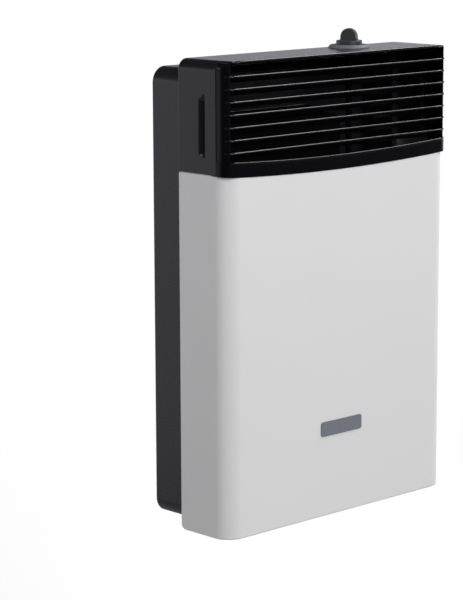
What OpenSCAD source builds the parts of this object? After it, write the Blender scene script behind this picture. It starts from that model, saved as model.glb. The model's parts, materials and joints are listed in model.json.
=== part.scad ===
// Balanced-flue wall gas heater: a sealed combustion chamber hung in a dark rear casing,
// under a pale sheet-steel front panel with a black hood and a louvred warm-air outlet.
// One knob on the hood is pushed and turned, and works the gas valve through a long rod.
// Frame: X to the right seen from the room, +Y into the wall, +Z up. The origin is the
// centre of the four wall screws, in the plane of the wall. Depths are distances from the
// wall into the room, and heights are measured from the bottom edge of the front panel.

/* [Front cover] */
// Width of the cover over its two flat sides
cover_w = 405; // [385:1:430]
// Height of the cover, from the panel's bottom edge to the hood's top
cover_h = 600; // [590:1:630]
// Depth of the front panel's face from the wall
cover_d = 146; // [143:1:160]
// Distance that the cover's rear edge reaches back over the casing
cover_lap = 6; // [4:0.5:10]
// Height of the black outlet, from the cover's top to the joint at its sides
outlet_h = 141; // [136:1:150]
// Rise of the curved joint line from its middle to its ends
joint_sag = 6.2; // [3:0.1:7]
// Thickness of the pale panel's sheet
panel_sheet = 1; // [0.8:0.1:1.4]
// Radius of the panel's upright front corners
panel_corner_r = 23; // [18:1:26]
// Radius of the panel's lower rear corners, seen from the side
panel_heel_r = 9; // [4:1:14]
// Width of the fold along the panel's rear edges
rear_fold = 9; // [5:0.5:9]
// Depth of the fold along the panel's bottom edge
bottom_fold = 15; // [12:1:20]

/* [Hood] */
// Wall of the black hood
hood_wall = 1.6; // [1.2:0.1:2]
// Radius of the hood's upper left and right corners
crown_r = 14; // [10:1:18]
// Shadow gap between the hood and what it meets
shadow_gap = 1; // [0.6:0.1:1.4]
// Height of the fold along the hood's rear top edge
top_fold = 12; // [6:0.5:12]
// Width of a side grip, front to back
grip_w = 10; // [8:0.5:12]
// Height of a side grip
grip_h = 80; // [60:1:90]
// Depth that fingers reach into a side grip
grip_depth = 7; // [5:0.5:9]
// Distance of a grip's front wall behind the panel's face
grip_setback = 39.5; // [36:0.5:44]
// Distance of a grip's middle below the cover's top
grip_drop = 81; // [76:1:90]
// Slope of the grip's rounded-off ends
grip_end_slope = 8; // [4:1:12]
// Wall round a grip's pocket
grip_wall = 1.6; // [1.2:0.1:2]

/* [Louvre grille] */
// Depth of the grille moulding, front to back
grille_depth = 19.5; // [18:0.5:22]
// Amount that the grille stands proud of the panel
grille_proud = 0.8; // [0.4:0.1:1.2]
// Radius of the grille's upright front corners
grille_corner_r = 15; // [13:0.5:17]
// Radius of the grille's top front edge
grille_edge_r = 2; // [1:0.1:2.5]
// Wall of the grille moulding
grille_wall = 2.8; // [2.6:0.1:3.2]
// Width of a corner post, seen from the front
post_w = 8; // [7:0.5:9]
// Thickness of the web that carries the louvres' ends
post_web = 2; // [1.5:0.1:2.5]
// Height of the curved lip under the louvres
lip_h = 18.5; // [16:0.5:20]
// Distance of the first louvre's nose below the cover's top
first_louvre_drop = 17.2; // [16.8:0.1:18]
// Height of the last louvre's nose above the middle of the lip
last_louvre_rise = 17.9; // [16:0.1:20]
// Height of the front nose of a louvre
nose_h = 2.2; // [1.8:0.1:2.6]
// Depth of the front nose of a louvre
nose_d = 4.5; // [4:0.1:5.5]
// Amount that the corner posts lie behind the lip
post_recess = 1.2; // [0.8:0.1:1.4]
// Amount that a louvre's nose lies behind the lip
nose_recess = 0.2; // [0:0.1:0.5]
// Depth of a louvre's sloping blade
blade_d = 14; // [12:0.5:15]
// Fall of a louvre's blade from front to back
blade_fall = 8; // [6:0.5:9]
// Upright thickness of a louvre's blade
blade_t = 1.6; // [1.2:0.1:2]
// Distance that the grille's tongue reaches into the hood
tongue_l = 9; // [6:0.5:12]
// Thickness of the grille's tongue
tongue_t = 1.4; // [1.2:0.1:2]
// Gap between the tongue and the hood
tongue_gap = 0.2; // [0.1:0.05:0.3]
// Width of a tab that holds the panel behind the lip
lip_tab_w = 40; // [30:1:60]
// Distance that a tab reaches below the joint line
lip_tab_l = 8; // [5:0.5:12]
// Thickness of a tab
lip_tab_t = 1.6; // [1.2:0.1:2]

/* [Badge] */
// Width of the bare badge plate
badge_w = 75; // [60:1:85]
// Height of the badge plate
badge_h = 19.2; // [15:0.2:24]
// Thickness of the badge plate
badge_t = 1.4; // [1:0.1:2]
// Corner radius of the badge plate
badge_r = 3; // [1:0.5:4]
// Height of the badge plate's middle
badge_z = 116.5; // [100:0.5:140]

/* [Rear casing] */
// Inset of the casing's sides from the cover's
casing_inset = 10; // [10:0.5:12]
// Height of the casing's underside
casing_z = 8; // [5:0.5:9]
// Distance of the casing's top below the cover's top
casing_drop = 14; // [14:0.5:17]
// Depth of the casing
casing_d = 64; // [63:0.5:67]
// Sheet of the casing
casing_sheet = 1.2; // [1:0.1:1.5]
// Radius of the casing's corners
casing_r = 20; // [16:1:22]
// Width of the fold round the casing's front
casing_fold = 9; // [7:0.5:10]
// Distance of the wall screws from the casing's sides
screw_inset_x = 42.5; // [35:0.5:50]
// Distance of the wall screws from the casing's top and underside
screw_inset_z = 25.5; // [24:0.5:36]
// Radius of the holes for the wall screws
screw_hole_r = 3.2; // [2.5:0.1:4]

/* [Flue] */
// Radius of the exhaust collar
exhaust_r = 30; // [25:0.5:34]
// Distance that the exhaust collar reaches into the wall
exhaust_reach = 45; // [40:1:60]
// Radius of the air collar
air_r = 48; // [44:0.5:52]
// Distance that the air collar reaches into the wall
air_reach = 30; // [20:1:36]
// Wall of the two collars
collar_wall = 1; // [0.8:0.1:1.2]
// Width of the rim that seats a collar
collar_rim = 7; // [5:0.5:9]
// Distance of the flue's axis below the casing's top
flue_drop = 166; // [150:1:190]
// Room between the air collar's rim and the air duct's sides
duct_room = 7; // [5:0.5:10]
// Sheet of the air duct
duct_sheet = 0.8; // [0.6:0.1:1]
// Height of the air duct's lower end above the chamber's floor
duct_rise = 18; // [14:1:22]

/* [Combustion chamber] */
// Room between the chamber's rim and the casing's fold
rim_room = 0.5; // [0.4:0.1:3]
// Distance of the chamber's right side from the knob's axis
control_room = 43.5; // [43:0.5:48]
// Height of the chamber's floor above the casing's underside
chamber_rise = 62; // [56:1:66]
// Distance of the chamber's top below the casing's
chamber_drop = 66; // [60:1:80]
// Depth of the chamber's back
chamber_back = 14; // [14:0.5:16]
// Distance of the chamber's front behind the panel's face
front_room = 34; // [30:1:38]
// Distance of the joint between the two halves behind the chamber's front
chamber_split = 52; // [51:0.5:53]
// Sheet of the chamber
chamber_sheet = 1.2; // [1:0.1:1.4]
// Radius of the chamber's corners
chamber_r = 14; // [10:1:16]
// Width of the chamber's rim
chamber_rim = 8; // [7.5:0.1:8]
// Thickness of the gasket between the halves
gasket_t = 2; // [1.5:0.1:2.5]
// Radius of the rim's bolts
rim_bolt_r = 2; // [1.5:0.1:2.1]
// Radius of the posts that carry the chamber
standoff_r = 3.6; // [3.4:0.1:3.8]

/* [Burner] */
// Radius of the burner tube
burner_r = 15; // [13:0.5:17]
// Distance of the burner's closed end from the chamber's left side
burner_gap = 15; // [12:1:25]
// Height of the burner's axis above the chamber's floor
burner_rise = 42; // [40:1:46]
// Distance of the burner's axis behind the chamber's front
burner_set = 28; // [26:0.5:30]
// Radius of the burner's neck
neck_r = 10; // [9:0.5:11]
// Number of flame ports
port_count = 20; // [12:1:20]
// Radius of a flame port
port_r = 1.2; // [0.8:0.1:1.5]
// Distance of the access plate's sides from the chamber's
access_margin = 18; // [15:1:25]
// Height of the access plate
access_h = 72; // [66:1:74]
// Radius of the sight glass
glass_r = 15; // [12:0.5:17]
// Thickness of the sight glass
glass_t = 3; // [2:0.5:4]

/* [Gas control] */
// Distance of the knob's axis from the cover's right side
knob_inset = 128; // [120:0.5:130]
// Distance of the knob's axis from the cover's rear edge
knob_set = 28; // [27.5:0.5:32]
// Radius of the knob's round base
knob_r = 17; // [15:0.5:18]
// Height that the base stands above the bezel
knob_base_h = 5.5; // [5.2:0.1:7]
// Length of the knob's grip
grip_l = 22; // [18:0.5:26]
// Height of the knob's grip
knob_grip_h = 15.5; // [13:0.5:18]
// Thickness of the knob's grip at its foot
knob_grip_t = 10; // [8:0.5:11]
// Thickness of the knob's grip at its top
knob_grip_top_t = 7; // [5:0.5:7.5]
// Turn of the grip from straight ahead, with the gas off
knob_rest_turn = 22; // [0:1:40]
// Travel of the knob when it is pushed
push_travel = 5; // [3:0.5:5]
// Radius of the bezel at its foot
bezel_r = 27.5; // [26:0.5:27.5]
// Height of the bezel
bezel_h = 4; // [3:0.5:5]
// Gap between the knob and the bezel
knob_gap = 0.4; // [0.3:0.05:0.6]
// Radius of the control rod and the valve's spindle
rod_r = 4; // [3.5:0.1:4.5]
// Radial clearance of what turns or slides
running_gap = 0.05; // [0.02:0.01:0.08]
// Width of the valve's body
valve_w = 50; // [48:1:54]
// Depth of the valve's body, front to back
valve_l = 40; // [38:1:42]
// Height of the valve's underside above the casing's
valve_rise = 142; // [138:1:150]
// Height of the valve's body
valve_h = 55; // [50:1:60]
// Height of the inlet's free end above the casing's underside
inlet_rise = 6; // [4:0.5:8]
// Free length of the inlet's thread
inlet_thread_l = 20.5; // [16:0.5:22]

/* [Hidden] */
$fn = 96;

// Colours, as the object shows them
casing_grey = [0.21, 0.21, 0.23];
hood_black = [0.16, 0.16, 0.18];
grille_black = [0.07, 0.07, 0.08];
panel_white = [0.86, 0.86, 0.87];
badge_grey = [0.5, 0.52, 0.54];
steel = [0.62, 0.63, 0.64];
oxide = [0.12, 0.12, 0.13];
enamel = [0.3, 0.3, 0.31];
brass = [0.78, 0.64, 0.34];
copper = [0.72, 0.45, 0.3];
fibre = [0.85, 0.83, 0.78];
ceramic = [0.93, 0.92, 0.9];
glass = [0.7, 0.8, 0.82];
lead_black = [0.1, 0.1, 0.1];

// Thread radius of a G 1/2 pipe end
inlet_r = 10.48;
// Overshoot of a cut past the face that it leaves
past = 1;

// Cover
half_w = cover_w / 2;
cover_rear = casing_d - cover_lap;
panel_side_h = cover_h - outlet_h;
seam_d = cover_d - grille_depth;
hood_front_d = seam_d - shadow_gap / 2;
grille_rear_d = seam_d + shadow_gap / 2;
grille_front_d = cover_d + grille_proud;
grille_half_w = half_w + grille_proud;
hood_z = panel_side_h + shadow_gap;
joint_r = (pow(half_w, 2) + pow(joint_sag, 2)) / (2 * joint_sag);
joint_mid_z = panel_side_h - joint_sag;
joint_gap = 0.3;
lip_z = joint_mid_z + joint_gap;
lip_top_z = joint_mid_z + lip_h;
top_bar_z = cover_h - grille_wall;
window_half_w = half_w - post_w;
post_gap = 0.05;
lip_tab_x = half_w - 82.5;
first_louvre_z = cover_h - first_louvre_drop;
last_louvre_z = lip_top_z + last_louvre_rise;
louvre_pitch = (first_louvre_z - last_louvre_z) / 6;
grip_z = cover_h - grip_drop;
grip_front_d = cover_d - grip_setback;
grip_rear_d = grip_front_d - grip_w;
grip_ramp = 0.4 * grip_w;
cover_screw_d = cover_d - 9;
cover_screw_r = 2;

// Rear casing, whose middle is the origin
casing_half_w = half_w - casing_inset;
casing_top_z = cover_h - casing_drop;
casing_h = casing_top_z - casing_z;
wall_z = casing_z + casing_h / 2;
screw_x = casing_half_w - screw_inset_x;
screw_rise = casing_h / 2 - screw_inset_z;

// Knob's axis
knob_x = half_w - knob_inset;
knob_d = cover_rear + knob_set;

// Combustion chamber
chamber_left = casing_fold + chamber_rim + rim_room - casing_half_w;
chamber_right = knob_x - control_room;
chamber_w = chamber_right - chamber_left;
chamber_x = (chamber_left + chamber_right) / 2;
chamber_z = casing_z + chamber_rise;
chamber_h = casing_top_z - chamber_drop - chamber_z;
chamber_mid_z = chamber_z + chamber_h / 2;
chamber_front_d = cover_d - front_room;
chamber_floor_z = chamber_z + chamber_sheet;
split_d = chamber_front_d - chamber_split;
rear_rim_d = split_d - chamber_sheet;
front_half_d = split_d + gasket_t;
front_rim_d = front_half_d + chamber_sheet;
rim_bolt_column = 50;
rim_bolt_row = chamber_w / 2 - 45;
bolt_gap = 0.15;
// Rim bolts in the two columns, as [side, share of the height]
column_bolts = [for (side = [-1, 1], share = [0:0.25:1]) [side, share]];
// Rim bolts in the rows above and below, as [place in the row, end]
row_bolts = [for (place = [-1:1], end = [-1, 1]) [place, end]];
function column_bolt(b) = [
    chamber_x + b[0] * (chamber_w + chamber_rim) / 2,
    chamber_z + rim_bolt_column + b[1] * (chamber_h - 2 * rim_bolt_column)
];
function row_bolt(b) = [
    chamber_x + b[0] * rim_bolt_row,
    chamber_mid_z + b[1] * (chamber_h + chamber_rim) / 2
];
rim_bolts = concat([for (b = column_bolts) column_bolt(b)], [for (b = row_bolts) row_bolt(b)]);
standoffs = [for (side = [-1, 1], share = [0, 1]) column_bolt([side, share])];
standoff_bore = 12;

// Flue
flue_x = chamber_x;
flue_z = casing_top_z - flue_drop;
collar_gap = 0.1;
collar_step = 0.6;
exhaust_hole_r = exhaust_r - collar_step + collar_gap;
duct_w = 2 * (air_r + collar_rim + duct_room);
duct_z = chamber_z + duct_rise;
duct_top_z = flue_z + duct_w / 2;
air_slot_w = duct_w - 24;
air_slot_h = 20;
air_slot_z = duct_z + 7;

// Burner and its access plate
burner_z = chamber_z + burner_rise;
burner_d = chamber_front_d - burner_set;
neck_l = 20;
injector_room = 11;
burner_left = chamber_left + burner_gap;
burner_right = chamber_right - neck_l - injector_room;
burner_l = burner_right - burner_left;
burner_wall = 1;
port_margin = 10;
saddle_t = 1.5;
saddle_inset = 25;
plate_t = 1.2;
access_w = chamber_w - 2 * access_margin;
access_z = burner_z;
access_r = 5;
access_border_x = 14;
access_border_z = 12;
access_screw_x = access_w / 2 - access_border_x / 2;
access_screw_z = access_h / 2 - access_border_z / 2;
injector_r = 5;
access_gasket_t = 1.5;
access_plate_d = chamber_front_d + access_gasket_t;
access_face_d = access_plate_d + plate_t;
access_screw_r = 2;
ring_screw_r = 1.4;
ring_r = glass_r + 5;
ring_screw_ring = glass_r + 2.6;
ring_lip = 1.2;
glass_lap = 2.5;
glass_gap = 0.1;

// Knob, rod and valve
bezel_z = cover_h + bezel_h;
knob_skirt = 6.5;
knob_z = bezel_z - knob_skirt;
knob_base_z = bezel_z + knob_base_h;
rod_socket_l = 8.5;
rod_top_z = knob_z + rod_socket_l;
valve_z = casing_z + valve_rise;
valve_top_z = valve_z + valve_h;
boss_r = 13;
boss_h = 11;
boss_z = valve_top_z + boss_h;
spring_l = 17;
collar_z = boss_z + spring_l;
collar_t = 3;
coupler_z = collar_z + collar_t;
coupler_r = 7;
coupler_l = 30;
coupling_l = 21.5;
spindle_top_z = coupler_z + coupling_l;
spindle_depth = 20;
spindle_z = boss_z - spindle_depth;
bore_room = 3;
spindle_bore_z = spindle_z - push_travel - bore_room;
guide_r = 2;
guide_room = 1;
guide_x = knob_x - boss_r - guide_r - guide_room;
guide_top_z = collar_z + collar_t + 4 * guide_room;
push_collar_r = 9;
valve_left = knob_x - valve_w / 2;
valve_right = knob_x + valve_w / 2;
valve_rear_d = knob_d - valve_l / 2;
valve_front_d = knob_d + valve_l / 2;
bracket_t = 1.5;
hanger_w = 30;
hanger_gap = 0.3;
bracket_w = 40;
tube_nut_r = 7;

// Igniter beside the valve
igniter_r = 9;
igniter_gap = 4;
igniter_x = valve_right + igniter_r + igniter_gap;
igniter_h = 36;
igniter_clip_t = 2;
igniter_nose_h = 12;
igniter_clip_z = valve_z + igniter_h;
igniter_rim_z = igniter_clip_z + igniter_clip_t;
igniter_top_z = igniter_rim_z + igniter_nose_h;
plunger_r = 4;
plunger_z = igniter_clip_z;
plunger_bore_z = plunger_z - push_travel - bore_room;

// Gas inlet
nut_h = 5;
nut_r = 15.6;
inlet_z = casing_z + inlet_rise;
shank_r = inlet_r + 0.6;
shank_z = inlet_z + inlet_thread_l;
gas_way_r = 6.5;
shelf_z = shank_z + nut_h;
fitting_hex_z = shelf_z + bracket_t;
fitting_hex_h = 12;
inlet_tube_z = fitting_hex_z + fitting_hex_h;
inlet_tube_r = 6;
tube_nut_h = 8;
feed_inset = 4.5;
feed_x = valve_left + feed_inset;
feed_r = 4;
holder_half = 10;
holder_z = burner_z + holder_half;

// Pilot group and its leads
pilot_set = 30;
pilot_inset = 35;
pilot_d = burner_d - pilot_set;
pilot_x = chamber_right - pilot_inset;
pilot_pitch = 12;
pilot_shelf_rise = 47.5;
shelf_top_z = chamber_z + pilot_shelf_rise;
pilot_foot_drop = 12.5;
pilot_foot_z = shelf_top_z - pilot_foot_drop;
electrode_foot_drop = 5.5;
electrode_foot_z = shelf_top_z - electrode_foot_drop;
thermocouple_r = 2.4;
pilot_r = 4;
electrode_r = 3.2;
thermocouple_x = pilot_x - pilot_pitch;
electrode_x = pilot_x + pilot_pitch;
lead_port_inset = 7.5;
lead_port_x = valve_right - lead_port_inset;
lead_port_step = 12;
lead_nut_r = 4.5;
lead_pitch = 8;
lead_hole_r = 3;
lead_rise = 14;
thermocouple_z = chamber_z + lead_rise;
pilot_tube_z = thermocouple_z + lead_pitch;
ignition_z = pilot_tube_z + lead_pitch;
lead_bend_r = 8;
thermocouple_lead_r = 1.2;
pilot_tube_r = 2;
ignition_lead_r = 2;
lead_gap = 0.1;

// ---- Building blocks ----

// Lowers a piece from heights above the panel's bottom edge to the origin
module placed() {
    translate([0, 0, -wall_z]) children();
}

// Extrudes a shape drawn as (x, z) between two depths
module from_wall(near, far) {
    translate([0, -near, 0]) rotate([90, 0, 0]) linear_extrude(far - near) children();
}

// Extrudes a shape drawn as (x, y) between two heights
module upright(low, high) {
    translate([0, 0, low]) linear_extrude(high - low) children();
}

// Extrudes a shape drawn as (y, z) from left to right
module across(left, right) {
    translate([left, 0, 0]) rotate([90, 0, 90]) linear_extrude(right - left) children();
}

module both_sides() {
    children();
    mirror([1, 0, 0]) children();
}

// A rectangle with round corners about the middle
module round_rect(w, h, r) {
    square([w - 2 * r, h], center = true);
    square([w, h - 2 * r], center = true);
    for (sx = [-1, 1], sy = [-1, 1])
        translate([sx * (w / 2 - r), sy * (h / 2 - r)]) circle(r);
}

// The cover's plan: flat sides, flat front and round front corners
module cover_plan(side, rear, front, r) {
    translate([-side, r - front]) square([2 * side, front - r - rear]);
    translate([r - side, -front]) square([2 * (side - r), front - rear]);
    for (s = [-1, 1]) translate([s * (side - r), r - front]) circle(r);
}

// The hood's front view: upright sides and round upper corners
module crown(side, low, top, r) {
    translate([-side, low]) square([2 * side, top - r - low]);
    translate([r - side, low]) square([2 * (side - r), top - low]);
    for (s = [-1, 1]) translate([s * (side - r), top - r]) circle(r);
}

// Everything above a curved line whose middle is at this height
module above_arc(mid_z) {
    translate([0, mid_z + joint_r]) circle(joint_r, $fn = 1440);
}

// A cylinder that lies along the depth, between two depths
module bar_from_wall(x, z, near, far, r) {
    translate([x, 0, z]) from_wall(near, far) circle(r);
}

// A cylinder from one point to another
module bar(a, b, r) {
    d = b - a;
    translate(a) rotate([0, acos(d[2] / norm(d)), atan2(d[1], d[0])]) cylinder(r = r, h = norm(d));
}

// A quarter bend round the corner p, from direction u to direction v
module quarter_bend(p, u, v, bend_r, r) {
    w = cross(-v, u);
    c = p + bend_r * (v - u);
    multmatrix([
        [-v[0], u[0], w[0], c[0]],
        [-v[1], u[1], w[1], c[1]],
        [-v[2], u[2], w[2], c[2]]
    ]) rotate_extrude(angle = 90) translate([bend_r, 0]) circle(r, $fn = 32);
}

// A bent tube along points whose stretches lie along the axes
module bent_tube(points, r, bend_r) {
    last = len(points) - 1;
    for (i = [0:last - 1]) {
        d = points[i + 1] - points[i];
        u = d / norm(d);
        start = i == 0 ? 0 : bend_r;
        stop = i == last - 1 ? 0 : bend_r;
        bar(points[i] + start * u, points[i + 1] - stop * u, r, $fn = 32);
    }
    for (i = [1:last - 1]) {
        into = points[i] - points[i - 1];
        out = points[i + 1] - points[i];
        quarter_bend(points[i], into / norm(into), out / norm(out), bend_r, r);
    }
}

// A coil spring about an upright axis, with its wire's middle between two heights
module coil(mean_r, wire_r, turns, low, high) {
    sides = 8;
    steps = turns * 20;
    points = [for (i = [0:steps], k = [0:sides - 1])
        let (turn = 360 * turns * i / steps, a = 360 * k / sides, q = mean_r + wire_r * cos(a))
        [q * cos(turn), q * sin(turn), low + (high - low) * i / steps + wire_r * sin(a)]];
    walls = [for (i = [0:steps - 1], k = [0:sides - 1], half = [0, 1])
        let (a = i * sides + k, b = i * sides + (k + 1) % sides)
        half == 0 ? [a, a + sides, b] : [b, a + sides, b + sides]];
    start = [for (k = [1:sides - 2]) [0, k, k + 1]];
    end = [for (k = [1:sides - 2]) [steps * sides, steps * sides + k + 1, steps * sides + k]];
    polyhedron(points, concat(walls, start, end), convexity = 10);
}

// ---- Rear casing and flue ----

module rear_casing() {
    color(casing_grey) placed() difference() {
        translate([0, 0, wall_z]) from_wall(0, casing_d)
            round_rect(2 * casing_half_w, casing_h, casing_r);
        translate([0, 0, wall_z]) from_wall(casing_sheet, casing_d - casing_sheet)
            round_rect(2 * (casing_half_w - casing_sheet), casing_h - 2 * casing_sheet,
                casing_r - casing_sheet);
        translate([0, 0, wall_z]) from_wall(casing_d - 2 * casing_sheet, casing_d + past)
            round_rect(2 * (casing_half_w - casing_fold), casing_h - 2 * casing_fold, casing_r - casing_fold);
        for (sx = [-1, 1], sz = [-1, 1])
            bar_from_wall(sx * screw_x, wall_z + sz * screw_rise, -past, casing_sheet + past, screw_hole_r);
        bar_from_wall(flue_x, flue_z, -past, casing_sheet + past, air_r + collar_gap);
    }
}

// A flue collar that a pipe slides over, necked down inside the casing, with a seating rim
module collar(r, rim_d, reach) {
    neck = r - collar_step;
    difference() {
        union() {
            bar_from_wall(flue_x, flue_z, -reach, 0, r);
            bar_from_wall(flue_x, flue_z, -past, rim_d, neck);
            bar_from_wall(flue_x, flue_z, rim_d - plate_t, rim_d, r + collar_rim);
        }
        bar_from_wall(flue_x, flue_z, -reach - past, -collar_wall, r - collar_wall);
        bar_from_wall(flue_x, flue_z, -reach - past, rim_d + past, neck - collar_wall);
    }
}

module air_collar() {
    color(steel) placed() collar(air_r, casing_sheet + plate_t, air_reach);
}

module exhaust_collar() {
    color(steel) placed() collar(exhaust_r, chamber_back + chamber_sheet + plate_t, exhaust_reach);
}

module air_slot(near, far) {
    from_wall(near, far) translate([chamber_x - air_slot_w / 2, air_slot_z]) square([air_slot_w, air_slot_h]);
}

module air_duct() {
    color(steel) placed() difference() {
        from_wall(casing_sheet, chamber_back)
            translate([flue_x - duct_w / 2, duct_z]) square([duct_w, duct_top_z - duct_z]);
        from_wall(casing_sheet - past, chamber_back - duct_sheet)
            translate([flue_x - duct_w / 2 + duct_sheet, duct_z + duct_sheet])
                square([duct_w - 2 * duct_sheet, duct_top_z - duct_z - 2 * duct_sheet]);
        bar_from_wall(flue_x, flue_z, casing_sheet, chamber_back + past, exhaust_hole_r);
        air_slot(casing_sheet, chamber_back + past);
    }
}

// ---- Combustion chamber ----

// The chamber's outline, grown by a margin
module chamber_outline(margin) {
    translate([chamber_x, chamber_mid_z])
        round_rect(chamber_w + 2 * margin, chamber_h + 2 * margin, chamber_r + margin);
}

module rim_bolt_holes(near, far) {
    for (b = rim_bolts) bar_from_wall(b[0], b[1], near, far, rim_bolt_r + bolt_gap);
}

module chamber_rear() {
    color(enamel) placed() difference() {
        union() {
            from_wall(chamber_back, split_d) chamber_outline(0);
            from_wall(rear_rim_d, split_d) chamber_outline(chamber_rim);
        }
        from_wall(chamber_back + chamber_sheet, split_d + past) chamber_outline(-chamber_sheet);
        rim_bolt_holes(rear_rim_d - past, split_d + past);
        bar_from_wall(flue_x, flue_z, chamber_back - past, chamber_back + chamber_sheet + past,
            exhaust_hole_r);
        air_slot(chamber_back - past, chamber_back + chamber_sheet + past);
        for (z = [thermocouple_z, pilot_tube_z, ignition_z])
            bar([chamber_right - 2 * chamber_sheet, -pilot_d, z], [chamber_right + past, -pilot_d, z],
                lead_hole_r);
    }
}

module chamber_gasket() {
    color(fibre) placed() difference() {
        from_wall(split_d, front_half_d) chamber_outline(chamber_rim);
        from_wall(split_d - past, front_half_d + past) chamber_outline(0);
        rim_bolt_holes(split_d - past, front_half_d + past);
    }
}

// Places of the access plate's screws about its middle
access_screw_places = [for (sx = [-1, 0, 1], sz = [-1, 1])
    [chamber_x + sx * access_screw_x, access_z + sz * access_screw_z]];
ring_screw_places = [for (a = [90, 210, 330])
    [chamber_x + ring_screw_ring * cos(a), access_z + ring_screw_ring * sin(a)]];

module access_screw_holes(near, far) {
    for (p = access_screw_places) bar_from_wall(p[0], p[1], near, far, access_screw_r + bolt_gap);
}

// The opening behind the access plate
module access_opening(near, far) {
    from_wall(near, far) translate([chamber_x, access_z])
        round_rect(access_w - 2 * access_border_x, access_h - 2 * access_border_z, access_r - 1);
}

module chamber_front() {
    color(enamel) placed() difference() {
        union() {
            from_wall(front_half_d, chamber_front_d) chamber_outline(0);
            from_wall(front_half_d, front_rim_d) chamber_outline(chamber_rim);
        }
        from_wall(front_half_d - past, chamber_front_d - chamber_sheet) chamber_outline(-chamber_sheet);
        rim_bolt_holes(front_half_d - past, front_rim_d + past);
        access_opening(chamber_front_d - 2 * chamber_sheet, chamber_front_d + past);
        access_screw_holes(chamber_front_d - 2 * chamber_sheet, chamber_front_d + past);
        bar([chamber_right - 2 * chamber_sheet, -burner_d, burner_z],
            [chamber_right + past, -burner_d, burner_z], injector_r + 2);
    }
}

// A bolt whose head faces the room
module bolt(x, z, tip_d, seat_d, r, head_r, head_h) {
    bar_from_wall(x, z, tip_d, seat_d, r);
    bar_from_wall(x, z, seat_d, seat_d + head_h, head_r);
}

module chamber_bolts() {
    head_r = 3.4;
    head_h = 2;
    nut_t = 2.4;
    color(oxide) placed() {
        for (i = [0:len(rim_bolts) - 1]) {
            in_standoff = len([for (s = standoffs) if (s == rim_bolts[i]) 1]) > 0;
            tip = in_standoff ? standoff_bore - 2 : nut_t;
            bolt(rim_bolts[i][0], rim_bolts[i][1], rear_rim_d - tip, front_rim_d,
                rim_bolt_r, head_r, head_h);
            if (!in_standoff)
                translate([rim_bolts[i][0], 0, rim_bolts[i][1]])
                    from_wall(rear_rim_d - nut_t, rear_rim_d) circle(head_r, $fn = 6);
        }
    }
}

module chamber_standoffs() {
    color(steel) placed() for (s = standoffs) difference() {
        bar_from_wall(s[0], s[1], casing_sheet, rear_rim_d, standoff_r);
        bar_from_wall(s[0], s[1], rear_rim_d - standoff_bore, rear_rim_d + past, rim_bolt_r + running_gap);
    }
}

// ---- Burner ----

module burner() {
    port_pitch = (burner_l - 2 * port_margin) / (port_count - 1);
    color(steel) placed() difference() {
        union() {
            bar([burner_left, -burner_d, burner_z], [burner_right, -burner_d, burner_z], burner_r);
            bar([burner_right - past, -burner_d, burner_z],
                [burner_right + neck_l, -burner_d, burner_z], neck_r);
        }
        bar([burner_left + burner_wall, -burner_d, burner_z],
            [burner_right - burner_wall, -burner_d, burner_z], burner_r - burner_wall);
        bar([burner_right - 2 * burner_wall, -burner_d, burner_z],
            [burner_right + neck_l + past, -burner_d, burner_z], neck_r - burner_wall);
        for (i = [0:port_count - 1])
            translate([burner_left + port_margin + i * port_pitch, -burner_d, burner_z])
                cylinder(r = port_r, h = burner_r + past, $fn = 24);
    }
}

module burner_supports() {
    saddle_w = 40;
    color(steel) placed() for (x = [burner_left + saddle_inset, burner_right - saddle_inset])
        difference() {
            translate([x, -burner_d - saddle_w / 2, chamber_floor_z])
                cube([saddle_t, saddle_w, burner_z - chamber_floor_z]);
            bar([x - past, -burner_d, burner_z], [x + saddle_t + past, -burner_d, burner_z],
                burner_r + running_gap);
        }
}

module access_gasket() {
    color(fibre) placed() difference() {
        from_wall(chamber_front_d, access_plate_d)
            translate([chamber_x, access_z]) round_rect(access_w, access_h, access_r);
        access_opening(chamber_front_d - past, access_plate_d + past);
        access_screw_holes(chamber_front_d - past, access_plate_d + past);
    }
}

module burner_access_plate() {
    color(enamel) placed() difference() {
        from_wall(access_plate_d, access_face_d)
            translate([chamber_x, access_z]) round_rect(access_w, access_h, access_r);
        bar_from_wall(chamber_x, access_z, access_plate_d - past, access_face_d + past,
            glass_r - glass_lap - 0.5);
        access_screw_holes(access_plate_d - past, access_face_d + past);
        for (p = ring_screw_places)
            bar_from_wall(p[0], p[1], access_plate_d - past, access_face_d + past, ring_screw_r + bolt_gap);
    }
}

module access_screws() {
    ring_face_d = access_face_d + glass_t + ring_lip;
    head_r = 3.6;
    head_h = 2.2;
    ring_head_r = 2.3;
    ring_head_h = 1.4;
    color(steel) placed() {
        for (p = access_screw_places)
            bolt(p[0], p[1], chamber_front_d - 3 * access_screw_r, access_face_d,
                access_screw_r, head_r, head_h);
        for (p = ring_screw_places)
            bolt(p[0], p[1], access_plate_d - 2 * ring_screw_r, ring_face_d,
                ring_screw_r, ring_head_r, ring_head_h);
    }
}

module sight_glass() {
    color(glass) placed() bar_from_wall(chamber_x, access_z, access_face_d, access_face_d + glass_t, glass_r);
}

module sight_glass_ring() {
    face_d = access_face_d + glass_t + ring_lip;
    color(steel) placed() difference() {
        bar_from_wall(chamber_x, access_z, access_face_d, face_d, ring_r);
        bar_from_wall(chamber_x, access_z, access_face_d - past, access_face_d + glass_t,
            glass_r + glass_gap);
        bar_from_wall(chamber_x, access_z, access_face_d, face_d + past, glass_r - glass_lap);
        for (p = ring_screw_places)
            bar_from_wall(p[0], p[1], access_face_d - past, face_d + past, ring_screw_r + bolt_gap);
    }
}

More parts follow.
